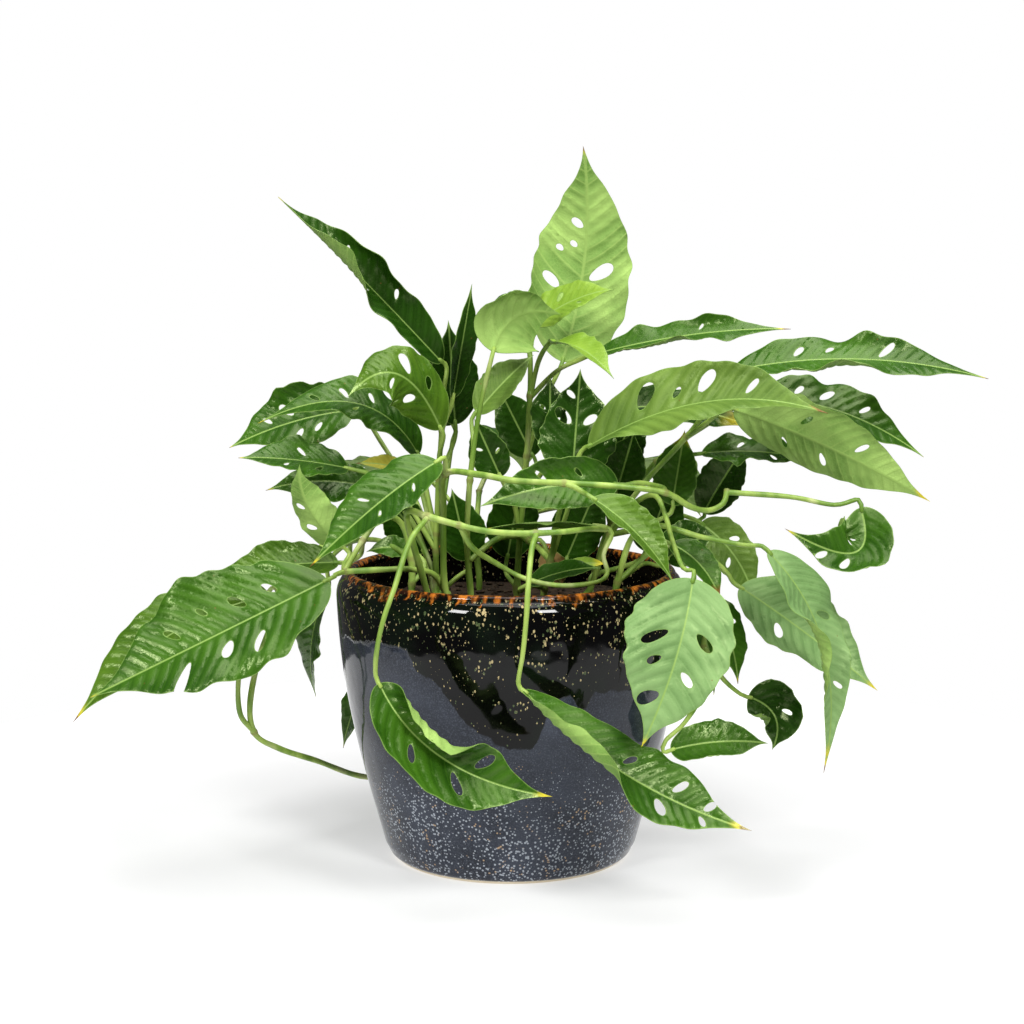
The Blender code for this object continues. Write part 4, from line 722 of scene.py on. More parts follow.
class Blade:
    """The curved surface of one leaf blade, as in the part's source."""

    def __init__(self, name):
        row = INNER_LEAVES.get(name) or LEAVES[name]
        base, tip, bow, face, width, widest, turn, fold, wave = row
        self.name = name
        self.base = np.array(base, float)
        self.tip = np.array(tip, float)
        self.bow = np.array(bow, float)
        self.face = unit(np.array([face], float))[0]
        self.half = width / 2
        self.widest = widest
        self.turn = math.radians(turn)
        self.fold = math.radians(fold)
        self.wave = wave
        self.holes = HOLES.get(name, ())
        knots = self.centre(np.linspace(0, 1, 11))
        self.length = float(lengths(np.diff(knots, axis=0)).sum())
        self.marks = {side: self.vein_marks(side) for side in (1, -1)}

    def centre(self, t):
        t = t[:, None]
        return self.base + (self.tip - self.base) * t + self.bow * (4 * t * (1 - t))

    def along(self, t):
        return unit(self.tip - self.base + self.bow * (4 - 8 * t[:, None]))

    def half_width(self, t):
        t = np.clip(t, 0.0, 1.0)
        near = np.clip(1 - t / self.widest, 0, 1)
        far = np.clip((t - self.widest) / (1 - self.widest), 0, 1)
        shape = (1 - near ** 2) ** BASE_POWER * np.maximum(np.cos(math.pi / 2 * far), 0) ** TIP_POWER
        return BLADE_ROOT_WIDTH * (1 - t) + (self.half - BLADE_ROOT_WIDTH) * shape

    def width_at(self, t):
        return float(self.half_width(np.array([t]))[0])

    def place(self, flat):
        """Places of flat points on the curved blade."""
        t = flat[:, 0] / self.length
        across = flat[:, 1]
        along = self.along(t)
        side = unit(np.cross(along, self.face))
        up = np.cross(side, along)
        turn = (self.turn * (t - 0.5))[:, None]
        side, up = side * np.cos(turn) - up * np.sin(turn), up * np.cos(turn) + side * np.sin(turn)
        out, rise = self.rolled(t, across)
        soft = self.half * SOFT_FOLD
        bent = np.hypot(out, soft) - soft
        sway = np.copysign(SIDE_SWAY, across)
        share = across / self.half
        ripple = self.wave * share ** 2 * np.sin(math.tau * WAVES * t + sway)
        shifted = t + SIDE_SHIFT * np.sign(across)
        fine = FINE_SHARE * self.wave * share ** 2 * wobble(self.name, shifted, FINE_WAVES)
        lift = bent * math.sin(self.fold) + rise * math.cos(self.fold) + ripple + fine
        spread = np.copysign(out * math.cos(self.fold) - rise * math.sin(self.fold), across)
        return self.centre(t) + side * spread[:, None] + up * lift[:, None]

    def rolled(self, t, across):
        """How far out and how high a point comes where a margin rolls up."""
        out = abs(across)
        rise = np.zeros_like(out)
        for side, start, angle, low, high in ROLLS.get(self.name, ()):
            fixed = start * self.half
            over = np.where(across * side > fixed, abs(across) - fixed, 0.0)
            opened = smoothstep(low - ROLL_EASE, low + ROLL_EASE, t)
            window = opened * smoothstep(high + ROLL_EASE, high - ROLL_EASE, t)
            bend = math.radians(angle) / (self.half - fixed) * window * over
            out = np.where(over > 0, fixed + over * np.sinc(bend / math.pi), out)
            rise = np.where(over > 0, over * bend / 2 * np.sinc(bend / math.tau) ** 2, rise)
        return out, rise

    def sweep(self, x, y):
        """Follow the side veins back from a flat point to the midrib."""
        return x - VEIN_SWEEP * abs(y) - VEIN_CURVE * y * y / self.half

    def vein_marks(self, side):
        """Distances along the midrib with vein numbers: holes lie between veins."""
        spacing = min(max(self.half * VEIN_SPACING, VEIN_SPACING_LEAST), VEIN_SPACING_MOST)
        places = sorted(
            self.sweep(t * self.length, share * self.width_at(t))
            for t, share, _, _ in self.holes if share * side > 0
        )
        marks = [(0.0, 0.0)]
        for place in places:
            if place - marks[-1][0] < spacing * MARK_GAP:
                continue
            number = max(math.floor(place / spacing), math.floor(marks[-1][1]) + 1) + 0.5
            marks.append((place, number))
        end = self.length + spacing
        marks.append((end, max(end / spacing, marks[-1][1] + 1)))
        return marks

    def phase(self, flat):
        """The number of the side vein at each flat point, whole on a vein."""
        places = self.sweep(flat[:, 0], flat[:, 1])
        numbers = np.zeros(len(flat))
        for side, marks in self.marks.items():
            chosen = flat[:, 1] * side > 0 if side > 0 else flat[:, 1] <= 0
            numbers[chosen] = np.interp(places[chosen], *zip(*marks))
        return numbers


def hole_loop(blade, hole):
    """The outline of one hole: an oval that narrows toward the midrib."""
    t, share, length, width = hole
    slant = math.copysign(math.radians(VEIN_SLANT), share)
    angle = np.arange(HOLE_CORNERS) * math.tau / HOLE_CORNERS
    uneven = HOLE_UNEVEN * wobble(f"{blade.name}{t}{share}", angle / math.tau, (1, 2, 3))
    swell = 1 + HOLE_NARROWING * np.cos(angle) + uneven
    x = np.cos(angle) * length * blade.half / 2
    y = np.sin(angle) * width * blade.half / 2 * swell
    centre_y = share * blade.width_at(t)
    return np.stack([
        t * blade.length + x * math.cos(slant) - y * math.sin(slant),
        centre_y + x * math.sin(slant) + y * math.cos(slant),
    ], 1)


def margin_loop(blade):
    """The blade's outline with a slightly uneven margin."""
    steps = max(MARGIN_STEPS_LEAST, round(blade.length / MARGIN_STEP))
    t = 0.5 - 0.5 * np.cos(math.pi * np.arange(steps) / steps)
    width = blade.half_width(t) * (1 - TIP_NARROWING * smoothstep(*TIP_DRAWN, t))
    lean = MARGIN_LEAN * random.Random(blade.name + " lean").choice((-1, 1))
    uneven = MARGIN_UNEVEN * smoothstep(0.05, 0.2, t)
    halves = []
    for side, seed, waves in MARGIN_SIDES:
        swell = side * lean * np.sin(math.pi * t) + uneven * wobble(blade.name + seed, t, waves)
        halves.append(np.stack([t * blade.length, side * width * (1 + swell)], 1))
    return np.concatenate([halves[0], [[blade.length, 0.0]], halves[1][::-1]])


def vein_lines(blade, outline):
    """Flat lines along the midrib and along each side vein."""
    steps = max(MIDRIB_STEPS_LEAST, round(blade.length / MIDRIB_STEP))
    x = np.linspace(*MIDRIB_SPAN, steps) * blade.length
    lines = [np.stack([x, np.full(steps, y)], 1) for y in MIDRIB_LINES]
    for side, marks in blade.marks.items():
        places, numbers = zip(*marks)
        for number in range(1, math.floor(numbers[-1])):
            start = float(np.interp(number, numbers, places))
            y = np.arange(VEIN_START, blade.half, VEIN_STEP)
            x = start + VEIN_SWEEP * y + VEIN_CURVE * y * y / blade.half
            lines.append(np.stack([x, y * side], 1))
    return [line[inside(line, outline)] for line in lines]


def flat_blade(blade):
    """Flat points and triangles of a blade, cut through by its holes."""
    outline = margin_loop(blade)
    holes = [hole_loop(blade, hole) for hole in blade.holes]
    rims = np.concatenate([outline] + holes)
    points = []
    edges = []
    for loop in [outline] + holes:
        first = len(points)
        points += loop.tolist()
        edges += [(first + index, first + (index + 1) % len(loop)) for index in range(len(loop))]
    for line in vein_lines(blade, outline):
        line = line[nearest(line, rims) > VEIN_CLEAR]
        first = len(points)
        points += line.tolist()
        edges += [
            (first + index, first + index + 1) for index in range(len(line) - 1)
            if math.dist(line[index], line[index + 1]) < LONGEST_EDGE
        ]
    columns = np.arange(0, blade.length, GRID)
    reach = blade.half * 1.1
    rows = np.arange(-reach, reach, GRID * ROW_SHARE)
    grid = np.array([(x + (index % 2) * GRID / 2, y) for index, y in enumerate(rows) for x in columns])
    grid = grid[within(grid, outline, holes)]
    grid = grid[nearest(grid, np.array(points)) > GRID * GRID_CLEAR]
    points += grid.tolist()
    found = delaunay_2d_cdt([Vector(point) for point in points], edges, [], 0, 1e-4)
    flat = np.array([tuple(point) for point in found[0]])
    triangles = np.array(found[2])
    triangles = triangles[within(flat[triangles].mean(1), outline, holes)]
    used, triangles = np.unique(triangles, return_inverse=True)
    return flat[used], triangles.reshape(-1, 3), rims


def sheet_normals(points, triangles):
    corners = points[triangles]
    flat = np.cross(corners[:, 1] - corners[:, 0], corners[:, 2] - corners[:, 0])
    normals = np.zeros_like(points)
    for corner in range(3):
        np.add.at(normals, triangles[:, corner], flat)
    return unit(normals)


def look_of(name):
    """A leaf's shade, and its shares of yellow and brown."""
    # Blades deep in the plant default to the darkest green, painted shade.
    return LOOKS.get(name, INNER_PAINTED_SHADE_LOOK if name in INNER_LEAVES else PLAIN_LOOK)


def add_leaf(shape, name, upper_kind, under_kind):
    """Add a blade with a quilted upper side and raised veins underneath."""
    _, yellow_share, brown_share = look_of(name)
    blade = Blade(name)
    flat, triangles, rims = flat_blade(blade)
    triangles = triangles[:, ::-1]
    t = flat[:, 0] / blade.length
    middle = abs(flat[:, 1])
    margin = nearest(flat, rims)
    phase = blade.phase(flat)
    to_vein = abs(phase % 1.0 - 0.5) * 2
    fade = smoothstep(0.5, 3.0, middle) * smoothstep(0.0, 2.5, margin)
    pillow = (1 - to_vein ** 2) * fade
    rib = np.exp(-(middle / MIDRIB_WIDTH) ** 2) * (1 - MIDRIB_TAPER * t)
    ridge = smoothstep(0.75, 1.0, to_vein) * fade
    points = blade.place(flat)
    normals = sheet_normals(points, triangles)
    half = BLADE_THICKNESS * (EDGE_THICKNESS + EDGE_GAIN * smoothstep(0, 1.2, margin)) / 2
    size = min(1.0, blade.half / FULL_RELIEF_HALF)
    raised = size * (PILLOW_UPPER * pillow - MIDRIB_GROOVE * rib)
    sunk = size * (PILLOW_UNDER * pillow - VEIN_RIDGE * ridge - MIDRIB_RIDGE * rib)
    both = [points + normals * (half + raised)[:, None], points - normals * (half - sunk)[:, None]]
    count = len(flat)
    sides = [pair for a, b, c in triangles.tolist() for pair in ((a, b), (b, c), (c, a))]
    known = set(sides)
    edge = [(start, end) for start, end in sides if (end, start) not in known]
    faces = triangles.tolist() + (triangles[:, ::-1] + count).tolist()
    faces += [(end, start, start + count, end + count) for start, end in edge]
    kinds = [upper_kind] * len(triangles) + [under_kind] * len(triangles) + [upper_kind] * len(edge)
    from_tip = 1 - t + TIP_RAGGED * wobble(name + " tip", flat[:, 1] / blade.half, (1.3, 2.9))
    values = {
        "vein": phase, "middle": middle, "margin": margin,
        "yellow": tip_share(from_tip, yellow_share, 1.5, 0.5),
        "brown": tip_share(from_tip, brown_share, 1.0, 0.6),
    }
    values = {key: np.tile(value, 2) for key, value in values.items()}
    shape.add(np.concatenate(both), faces, kinds, **values)


def tip_share(from_tip, share, last, full):
    """One in the part of a blade's tip that takes a colour, and none beyond it."""
    return smoothstep(share * last, share * full, from_tip) if share else from_tip * 0


# Stems

def smooth_route(points, step):
    """Points on a smooth curve through a route's own points."""
    points = np.array(points, float)
    ends = np.concatenate([[points[0] * 2 - points[1]], points, [points[-1] * 2 - points[-2]]])
    route = [points[0]]
    for index in range(1, len(ends) - 2):
        before, start, end, after = ends[index - 1:index + 3]
        pieces = max(1, round(float(np.linalg.norm(end - start)) / step))
        for number in range(1, pieces + 1):
            t = number / pieces
            route.append(0.5 * (
                2 * start + (end - before) * t + (2 * before - 5 * start + 4 * end - after) * t ** 2
                + (3 * start - before - 3 * end + after) * t ** 3
            ))
    return np.array(route)


def stalk_points(points, leaf):
    """The run's points, straight in the soil and led into the blade's midrib."""
    if points[0][2] == ROOT_START:
        x, y, z = points[0]
        points = ((x, y, z), (x, y, ROOT_COLLAR), (x, y, ROOT_TOP)) + points[1:]
    if leaf is None:
        return points
    blade = Blade(leaf)
    along = blade.along(np.array([0.0]))[0]
    ends = (blade.base - along * STALK_LEAD, blade.base + along * STALK_INTO_BLADE)
    return points + tuple(tuple(end) for end in ends)


def distances(route):
    """How far along a route each of its points lies."""
    return np.concatenate([[0], np.cumsum(lengths(np.diff(route, axis=0))[:, 0])])


def add_tube(shape, route, radii, seed, knots):
    """Add a round run with rounded ends. Knots are distances with a swollen ring."""
    along = unit(np.gradient(route, axis=0))
    side = np.cross(along[0], (0.3, 0.5, 0.8))
    sides = []
    for direction in along:
        side = side - direction * (side @ direction)
        side /= np.linalg.norm(side)
        sides.append(side)
    ups = np.cross(along, np.array(sides))
    run = distances(route)
    ring = np.zeros_like(run)
    for knot in knots:
        ring = np.maximum(ring, np.exp(-((run - knot) / KNOT_SPREAD) ** 2))
    uneven = 1 + TUBE_UNEVEN * wobble(seed, run / TUBE_WAVE_LENGTH, TUBE_WAVES)
    radii = radii * uneven + KNOT_SWELL * ring
    angles = np.arange(TUBE_SIDES) * math.tau / TUBE_SIDES
    rows = []
    for centre, side, up, radius in zip(route, sides, ups, radii):
        rows.append(centre + (np.cos(angles)[:, None] * side + np.sin(angles)[:, None] * up) * radius)
    for end, sign in ((0, -1), (-1, 1)):
        rows.append((route[end] + along[end] * sign * radii[end] * TUBE_CAP)[None])
    top = len(route) * TUBE_SIDES
    last = top - TUBE_SIDES
    faces = []
    for row in range(0, last, TUBE_SIDES):
        for corner in range(TUBE_SIDES):
            a = row + corner
            b = row + (corner + 1) % TUBE_SIDES
            faces.append((a, b, b + TUBE_SIDES, a + TUBE_SIDES))
    for corner in range(TUBE_SIDES):
        after = (corner + 1) % TUBE_SIDES
        faces.append((after, corner, top))
        faces.append((last + corner, last + after, top + 1))
    joint = np.concatenate([np.repeat(ring, TUBE_SIDES), [0, 0]])
    shape.add(np.concatenate(rows), faces, 0, joint=joint)


def run_radii(count, leaf, rooted):
    start = VINE_RADIUS if rooted or leaf is None else STALK_RADIUS
    end = STALK_END_RADIUS if leaf else start * VINE_TAPER
    return start + (end - start) * np.linspace(0, 1, count)


def knot_places(route, starts):
    """Where other runs leave a route, as distances along it."""
    run = distances(route)
    places = []
    for start in starts:
        gaps = lengths(route - np.array(start, float))[:, 0]
        if gaps.min() < KNOT_REACH:
            places.append(float(run[gaps.argmin()]))
    return places


def build_stem(name, runs, materials):
    shape = Shape()
    starts = [points[0] for points, leaf in runs]
    for number, (points, leaf) in enumerate(runs):
        rooted = points[0][2] == ROOT_START
        route = smooth_route(stalk_points(points, leaf), ROUTE_STEP)
        radii = run_radii(len(route), leaf, rooted)
        knots = knot_places(route, starts) if leaf is None or rooted else []
        add_tube(shape, route, radii, f"{name}{number}", knots)
        if leaf in INNER_LEAVES:
            shade = INNER_SHADES.index(look_of(leaf)[0])
            add_leaf(shape, leaf, shade + 1, len(INNER_SHADES) + 1)
    return piece("stem_" + name + "_grown", shape, materials, "stem_" + name)


# Pot and soil

def pot_outer_radius(height):
    """The pot's outer radius, as in the part's source."""
    share = height / POT_HEIGHT
    bulge = POT_BULGE * math.sin(math.pi * share ** POT_BULGE_POWER)
    rise = max(0.0, height - SHOULDER_START) / (POT_HEIGHT - SHOULDER_START)
    shoulder = SHOULDER_DEPTH * (1 - math.sqrt(1 - rise ** 2))
    foot = POT_FOOT_RADIUS + POT_FOOT_STEP
    return foot + (POT_RADIUS - POT_FOOT_STEP - foot) * share + bulge - shoulder


def turned(profile, steps):
    """Points and faces of a profile turned round the Z axis."""
    angles = np.arange(steps) * math.tau / steps
    points = []
    rings = []
    for radius, height in profile:
        if radius == 0:
            rings.append([len(points)] * steps)
            points.append((0.0, 0.0, height))
        else:
            rings.append(list(range(len(points), len(points) + steps)))
            points += [(radius * math.cos(angle), radius * math.sin(angle), height) for angle in angles]
    faces = []
    for low, high in zip(rings, rings[1:]):
        for index in range(steps):
            after = (index + 1) % steps
            face = []
            for corner in (low[index], low[after], high[after], high[index]):
                if corner not in face:
                    face.append(corner)
            faces.append(tuple(face))
    return np.array(points), faces


def build_pot(glaze, clay):
    lip = POT_WALL / 2
    lip_centre = pot_outer_radius(POT_HEIGHT - lip) - lip
    heights = list(np.arange(WALL_START, POT_HEIGHT - lip + 0.1, WALL_STEP))
    foot = [(0, FOOT_HOLLOW)] + [(POT_FOOT_RADIUS + out, height) for out, height in FOOT_PROFILE]
    outer = [(pot_outer_radius(height), height) for height in heights]
    rim = [
        (lip_centre + lip * math.cos(angle), POT_HEIGHT - lip + lip * math.sin(angle))
        for angle in np.radians(np.arange(0, 181, RIM_STEP))
    ]
    inner = [(radius - POT_WALL, height) for radius, height in reversed(outer)]
    floor = [(FLOOR_RADIUS, POT_FLOOR), (0, POT_FLOOR)]
    points, faces = turned(foot + outer + rim + inner + floor, POT_TURNS)
    around = np.degrees(np.arctan2(points[:, 0], -points[:, 1]))
    edge = np.interp(around, *zip(*DRIP_LINE))
    kinds = []
    for face in faces:
        top = max(points[corner, 2] for corner in face)
        wide = max(math.hypot(*points[corner, :2]) for corner in face)
        kinds.append(1 if top <= CLAY_TOP and wide <= POT_FOOT_RADIUS else 0)
    shape = Shape()
    shape.add(points, faces, kinds, drip=points[:, 2] - edge)
    return piece("pot_glazed", shape, [glaze, clay], "pot")


def soil_top(radius):
    return SOIL_EDGE_TOP + SOIL_MOUND * math.cos(math.radians(min(90, radius)))


def build_soil(material):
    """Lumpy soil with crumbs, over the filled inside of the pot."""
    rim = pot_outer_radius(SOIL_EDGE_LEVEL) - POT_WALL - SOIL_GAP
    radii = [0] + list(np.arange(2, rim, SOIL_STEP)) + [rim]
    profile = [(radius, soil_top(radius)) for radius in radii]
    profile += [(pot_outer_radius(SOIL_BOTTOM) - POT_WALL - SOIL_GAP, SOIL_BOTTOM), (0, SOIL_BOTTOM)]
    points, faces = turned(profile, SOIL_TURNS)
    chance = random.Random("soil")
    lumps = np.zeros(len(points))
    top = points[:, 2] > LUMP_FLOOR
    for _ in range(LUMP_COUNT):
        x, y = chance.uniform(-rim, rim), chance.uniform(-rim, rim)
        size = chance.uniform(*LUMP_SIZES)
        gap = np.hypot(points[:, 0] - x, points[:, 1] - y)
        lumps += chance.uniform(*LUMP_RISE) * size * LUMP_SHARE * np.exp(-(gap / size) ** 2)
    points[:, 2] += np.where(top, np.clip(lumps, *LUMP_LIMITS), 0)
    shape = Shape()
    shape.add(points, faces, 0)
    for _ in range(CRUMB_COUNT):
        angle = chance.uniform(0, math.tau)
        radius = rim * math.sqrt(chance.random()) * CRUMB_SPREAD
        size = chance.uniform(*CRUMB_SIZES)
        height = soil_top(radius) + size * CRUMB_SHARE
        add_crumb(shape, (radius * math.cos(angle), radius * math.sin(angle), height), size, chance)
    return piece("soil_crumbly", shape, [material], "soil")


def add_crumb(shape, centre, size, chance):
    """A small rough lump."""
    points = []
    for level, ring in CRUMB_LEVELS:
        spread = math.sqrt(max(0, 1 - level * level))
        shift = chance.random()
        for index in range(ring):
            angle = math.tau * (index + shift) / ring
            grow = size * chance.uniform(*CRUMB_GROW)
            out = (spread * math.cos(angle) * grow, spread * math.sin(angle) * grow)
            points.append((*out, level * grow * CRUMB_FLATNESS))
    points = np.array(points) + centre
    faces = [(0, 1 + (index + 1) % 5, 1 + index) for index in range(5)]
    lower = list(range(1, 6))
    upper = list(range(6, 12))
    for index in range(6):
        near = lower[index * 5 // 6]
        after = lower[(index + 1) * 5 // 6 % 5]
        here = upper[index]
        later = upper[(index + 1) % 6]
        faces.append((near, later, here))
        if near != after:
            faces.append((near, after, later))
        faces.append((here, later, 12))
    shape.add(points, faces, 0)


# Materials

class Paint:
    """A short way to write a material's nodes."""

    def __init__(self, name, **settings):
        self.material = bpy.data.materials.new(name)
        self.material.use_nodes = True
        self.tree = self.material.node_tree
        self.shader = self.tree.nodes["Principled BSDF"]
        for socket, value in settings.items():
            self.shader.inputs[socket.replace("_", " ")].default_value = value

    def node(self, kind, sockets, **settings):
        """A new node with its settings, and values or links for its sockets."""
        item = self.tree.nodes.new(kind)
        for name, value in settings.items():
            setattr(item, name, value)
        for socket, value in sockets.items():
            self.set(item.inputs[socket], value)
        return item

    def set(self, socket, value):
        if isinstance(value, bpy.types.NodeSocket):
            self.tree.links.new(value, socket)
        elif isinstance(value, tuple) and len(value) == 3 and socket.type == "RGBA":
            socket.default_value = (*value, 1)
        else:
            socket.default_value = value

    def value(self, name):
        return self.node("ShaderNodeAttribute", {}, attribute_name=name).outputs["Fac"]

    def places(self, scale=(1, 1, 1)):
        """The object's own coordinates in metres, times a scale."""
        coordinates = self.node("ShaderNodeTexCoord", {}).outputs["Object"]
        return self.node("ShaderNodeMapping", {"Vector": coordinates, "Scale": scale}).outputs["Vector"]

    def maths(self, operation, *values):
        return self.node("ShaderNodeMath", dict(enumerate(values)), operation=operation).outputs[0]

    def fade(self, value, low=0.3, high=0.7, start=0.0, end=1.0):
        """Start where a value is below low, end where it is above high, smooth between."""
        return self.node(
            "ShaderNodeMapRange",
            {"Value": value, "From Min": low, "From Max": high, "To Min": start, "To Max": end},
            interpolation_type="SMOOTHSTEP",
        ).outputs["Result"]

    def noise(self, scale, detail=3.0, places=None, roughness=0.5):
        return self.node(
            "ShaderNodeTexNoise",
            {"Vector": places or self.places(), "Scale": scale, "Detail": detail, "Roughness": roughness},
        ).outputs["Fac"]

    def cells(self, scale, places=None, feature="F1"):
        return self.node(
            "ShaderNodeTexVoronoi", {"Vector": places or self.places(), "Scale": scale}, feature=feature,
        ).outputs["Distance"]

    def mix(self, share, first, second):
        sockets = {MIX_SHARE: share, MIX_FIRST: first, MIX_SECOND: second}
        return self.node("ShaderNodeMix", sockets, data_type="RGBA").outputs[MIX_RESULT]

    def bump(self, height, distance, strength=1.0):
        normal = self.node(
            "ShaderNodeBump", {"Height": height, "Distance": distance, "Strength": strength}
        ).outputs["Normal"]
        self.set(self.shader.inputs["Normal"], normal)

    def finish(self, colour, roughness):
        """Link the colour and the roughness, and give the material."""
        self.set(self.shader.inputs["Base Color"], colour)
        self.set(self.shader.inputs["Roughness"], roughness)
        return self.material


def vein_line(paint, low, high):
    """One on a side vein, fading to nothing beside it."""
    number = paint.maths("FRACT", paint.value("vein"))
    gap = paint.maths("ABSOLUTE", paint.maths("SUBTRACT", number, 0.5))
    return paint.fade(gap, low, high)


def leaf_ends(paint, colour):
    """Lay the pale margin, the yellow tip and the brown tip over a leaf's colour."""
    speckle = paint.noise(240, 4)
    edge = paint.fade(paint.value("margin"), 0.1, 0.6, 0.7, 0)
    colour = paint.mix(edge, colour, PALE_EDGE)
    ragged = paint.maths("MULTIPLY", paint.value("yellow"), paint.fade(speckle, 0.25, 0.45))
    colour = paint.mix(ragged, colour, YELLOW)
    return paint.mix(paint.value("brown"), colour, BROWN)


def upper_skin(name, dark, light, rough):
    """A leaf's upper side: clouded green, lighter between the veins as painted light on the quilted bulge
    and painted shade in the furrows along them, pale at the midrib.
    """
    paint = Paint("leaf_" + name, Specular_IOR_Level=0.44, Specular_Tint=LEAF_SHEEN)
    cloud = paint.noise(28, 2)
    line = vein_line(paint, 0.38, 0.5)
    # Painted shade and light: darker down in the furrow along each side vein, lighter on the bulge between
    # the veins.
    between = paint.maths("SUBTRACT", 1.0, vein_line(paint, 0.0, 0.5))
    share = paint.maths("MULTIPLY_ADD", between, 0.30, paint.fade(cloud, 0.3, 0.7, 0.0, 0.62))
    colour = paint.mix(share, dark, light)
    net = paint.cells(520, feature="DISTANCE_TO_EDGE")
    colour = paint.mix(paint.fade(net, 0.0, 0.12, 0.16, 0), colour, light)
    colour = paint.mix(paint.maths("MULTIPLY", line, 0.35), colour, light)
    rib = paint.fade(paint.value("middle"), 0.25, 0.85, 0.8, 0)
    colour = paint.mix(rib, colour, MIDRIB)
    colour = leaf_ends(paint, colour)
    spots = paint.cells(90)
    colour = paint.mix(paint.fade(spots, 0.035, 0.05, 0.6, 0), colour, BROWN)
    paint.bump(paint.fade(net, 0.0, 0.2), 0.00003)
    return paint.finish(colour, paint.fade(paint.noise(60), 0.3, 0.7, rough - 0.05, rough + 0.09))


def under_skin():
    """A leaf's paler underside with raised veins."""
    paint = Paint("leaf_under", Specular_IOR_Level=0.26, Specular_Tint=LEAF_SHEEN)
    cloud = paint.noise(30)
    colour = paint.mix(paint.fade(cloud), UNDER_DARK, UNDER_LIGHT)
    net = paint.cells(480, feature="DISTANCE_TO_EDGE")
    colour = paint.mix(paint.fade(net, 0.0, 0.14, 0.3, 0), colour, MIDRIB)
    colour = paint.mix(paint.maths("MULTIPLY", vein_line(paint, 0.38, 0.48), 0.85), colour, MIDRIB)
    colour = paint.mix(paint.fade(paint.value("middle"), 0.5, 1.3, 0.9, 0), colour, MIDRIB)
    paint.bump(paint.fade(net, 0.16, 0.0), 0.00006)
    return paint.finish(leaf_ends(paint, colour), paint.fade(cloud, 0.3, 0.7, 0.5, 0.62))


def stem_skin():
    paint = Paint("stem_skin", Specular_IOR_Level=0.4)
    streak = paint.noise(90, places=paint.places((1, 1, 0.25)))
    colour = paint.mix(paint.fade(streak), STEM_DARK, STEM_LIGHT)
    pale = paint.noise(55, 2, paint.places((1, 1, 0.4)))
    colour = paint.mix(paint.fade(pale, 0.58, 0.72, 0, 0.7), colour, STEM_PALE)
    colour = paint.mix(paint.fade(paint.value("joint"), 0.25, 0.9, 0, 0.55), colour, STEM_JOINT)
    paint.bump(paint.noise(400, places=paint.places((1, 1, 0.2))), 0.0002)
    return paint.finish(colour, paint.fade(pale, 0.3, 0.7, 0.36, 0.5))


def slate_glaze(paint, height):
    """Slate blue with fine grain and pale dots, more and larger toward the foot."""
    slate = paint.mix(paint.fade(paint.noise(30, 4)), SLATE_DARK, SLATE_LIGHT)
    slate = paint.mix(paint.fade(paint.noise(1100, 2), 0.45, 0.7, 0, 0.5), slate, SLATE_GRAIN)
    low = paint.fade(height, 0.12, 0.025, 0.0, 0.42)
    size = paint.fade(paint.maths("MULTIPLY_ADD", paint.noise(45), 0.6, low), 0.34, 0.80, 0.03, 0.36)
    dot = paint.fade(paint.maths("SUBTRACT", paint.cells(520), size), -0.05, 0.03, 1, 0)
    warm = paint.mix(paint.fade(paint.noise(170, 1), 0.60, 0.66), DOT_BLUE, DOT_WARM)
    return paint.mix(paint.maths("MULTIPLY", dot, 0.8), slate, warm)


def black_glaze(paint, height):
    """Black with cream specks, more of them near the lip."""
    black = paint.mix(paint.fade(paint.noise(22), 0.45, 0.7), BLACK, BLACK_GREEN)
    many = paint.fade(height, 0.09, 0.168, 0.0, 0.16)
    some = paint.fade(paint.noise(120, 4, roughness=0.7), 0.46, 0.66, 0.0, 0.34)
    size = paint.maths("ADD", some, many)
    specks = paint.cells(540, paint.places((1, 1, 0.6)))
    speck = paint.fade(paint.maths("SUBTRACT", specks, size), -0.08, 0.02, 1, 0)
    cream = paint.mix(paint.fade(paint.noise(260, 2), 0.40, 0.60), SPECK_GREEN, SPECK_CREAM)
    return paint.mix(speck, black, cream)


def rusty_lip(paint, height, colour):
    """Lay the burnt orange of the lip over a colour, with a streaky lower edge."""
    streaks = paint.noise(260, 4, paint.places((1, 1, 0.10)))
    broad = paint.noise(45, 2, paint.places((1, 1, 0.2)))
    reach = paint.maths("MULTIPLY_ADD", broad, 0.010, paint.maths("MULTIPLY_ADD", streaks, 0.016, height))
    rust = paint.mix(paint.fade(streaks, 0.42, 0.68), RUST_DARK, RUST_LIGHT)
    return paint.mix(paint.fade(reach, 0.1887, 0.1922), colour, rust)


def glaze_skin():
    """Black over slate blue, with a burnt orange lip that runs down a little."""
    paint = Paint("glaze", Specular_IOR_Level=0.24)
    height = paint.node("ShaderNodeSeparateXYZ", {"Vector": paint.places()}).outputs["Z"]
    shift = paint.maths("SUBTRACT", paint.noise(90, 4), 0.5)
    lower = paint.fade(paint.maths("MULTIPLY_ADD", shift, 12.0, paint.value("drip")), 0.9, -0.9)
    black = rusty_lip(paint, height, black_glaze(paint, height))
    colour = paint.mix(lower, black, slate_glaze(paint, height))
    paint.bump(paint.maths("ADD", paint.noise(38, 2), paint.maths("MULTIPLY", lower, -0.3)), 0.0013, 0.5)
    return paint.finish(colour, paint.fade(paint.noise(50, 2), 0.3, 0.7, 0.04, 0.09))


def clay_skin():
    paint = Paint("bare_clay", Specular_IOR_Level=0.2)
    cloud = paint.noise(90, 5)
    paint.bump(paint.noise(900), 0.0002)
    return paint.finish(paint.mix(cloud, CLAY_DARK, CLAY_LIGHT), paint.fade(cloud, 0.2, 0.8, 0.75, 0.9))


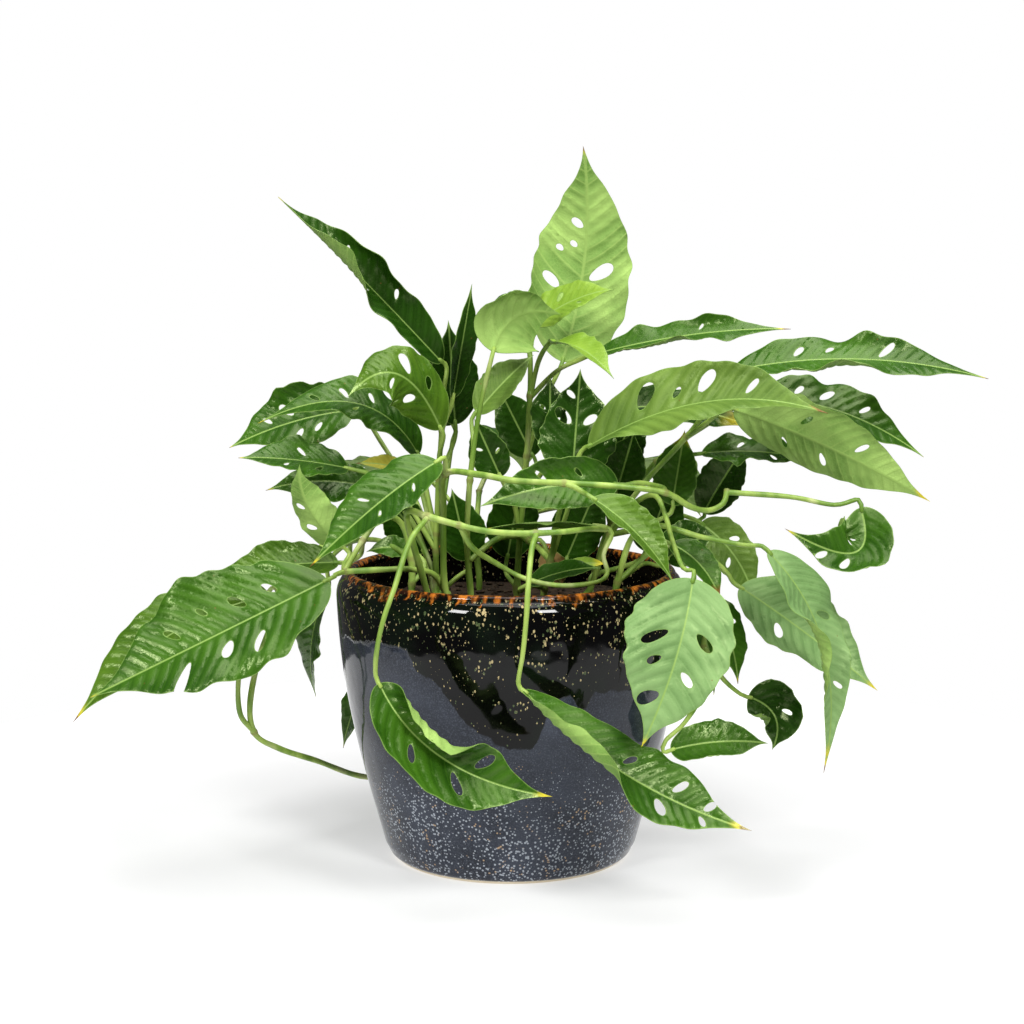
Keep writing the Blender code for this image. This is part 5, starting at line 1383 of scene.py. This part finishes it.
def soil_skin():
    paint = Paint("damp_soil", Specular_IOR_Level=0.2)
    grain = paint.noise(420, 5)
    colour = paint.mix(paint.fade(grain), SOIL_DARK, SOIL_LIGHT)
    colour = paint.mix(paint.fade(paint.noise(60), 0.5, 0.7, 0, 0.5), colour, SOIL_DRY)
    paint.bump(grain, 0.0012)
    return paint.finish(colour, paint.fade(grain, 0.3, 0.7, 0.85, 0.98))


# Studio

def build_stage():
    """A wide disc, grey under its glow, that glows all over and more in its outer part, so that it meets
    the white background; the glow is painted light that lifts the shadows on the floor.
    """
    paint = Paint(
        "studio_white", Specular_IOR_Level=0.0, Base_Color=FLOOR_GREY, Roughness=1.0, Emission_Color=WHITE,
    )
    away = paint.node("ShaderNodeVectorMath", {0: paint.places()}, operation="LENGTH").outputs["Value"]
    # Painted light: a glow over the whole disc, rising toward its edge.
    glow = paint.fade(away, *GLOW_SPAN, FLOOR_GLOW, EDGE_GLOW)
    paint.set(paint.shader.inputs["Emission Strength"], glow)
    points, faces = turned([(radius, 0) for radius in FLOOR_RINGS], FLOOR_TURNS)
    mesh = bpy.data.meshes.new("studio_floor")
    mesh.from_pydata((points * MM).tolist(), [], [face[::-1] for face in faces])
    mesh.materials.append(paint.material)
    floor = placed("studio_floor", mesh)


def add_light(name, place, size, power):
    light = bpy.data.lights.new(name, "AREA")
    light.shape = "RECTANGLE"
    light.size, light.size_y = size
    light.energy = power
    item = placed(name, light)
    item.location = place
    aim = Vector(LIGHTS_AIM) - Vector(place)
    item.rotation_euler = aim.to_track_quat("-Z", "Y").to_euler()


def build_lights():
    """Three soft lights, and a room that is white for the camera and dim for the object."""
    for row in LIGHTS:
        add_light(*row)
    world = bpy.data.worlds.new("studio")
    world.use_nodes = True
    tree = world.node_tree
    background = tree.nodes["Background"]
    background.inputs["Color"].default_value = WHITE
    seen = tree.nodes.new("ShaderNodeLightPath").outputs["Is Camera Ray"]
    strength = tree.nodes.new("ShaderNodeMapRange")
    strength.inputs["To Min"].default_value = ROOM_GLOW
    strength.inputs["To Max"].default_value = 1.0
    tree.links.new(seen, strength.inputs["Value"])
    tree.links.new(strength.outputs["Result"], background.inputs["Strength"])
    bpy.context.scene.world = world


def build_camera():
    data = bpy.data.cameras.new("camera")
    data.lens = CAMERA_LENS
    data.sensor_width = CAMERA_SENSOR
    data.clip_end = CAMERA_REACH
    camera = placed("camera", data)
    camera.location = CAMERA_PLACE
    camera.rotation_euler = (math.radians(90 - CAMERA_PITCH), 0, 0)
    bpy.context.scene.camera = camera
    bpy.context.scene.view_settings.view_transform = "Standard"


def corners(box):
    return [[float(value) for value in corner] for corner in box]


def main():
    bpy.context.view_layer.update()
    build_camera()
    build_stage()
    build_lights()
    build_pot(glaze_skin(), clay_skin())
    build_soil(soil_skin())
    under = under_skin()
    uppers = {name: upper_skin(name, *look) for name, look in SHADES.items()}
    for name in LEAVES:
        shape = Shape()
        add_leaf(shape, name, 0, 1)
        upper = uppers[look_of(name)[0]]
        piece("leaf_" + name + "_grown", shape, [upper, under], "leaf_" + name)
    stem = stem_skin()
    for name, runs in STEMS.items():
        build_stem(name, runs, [stem] + [uppers[shade] for shade in INNER_SHADES] + [under])


main()
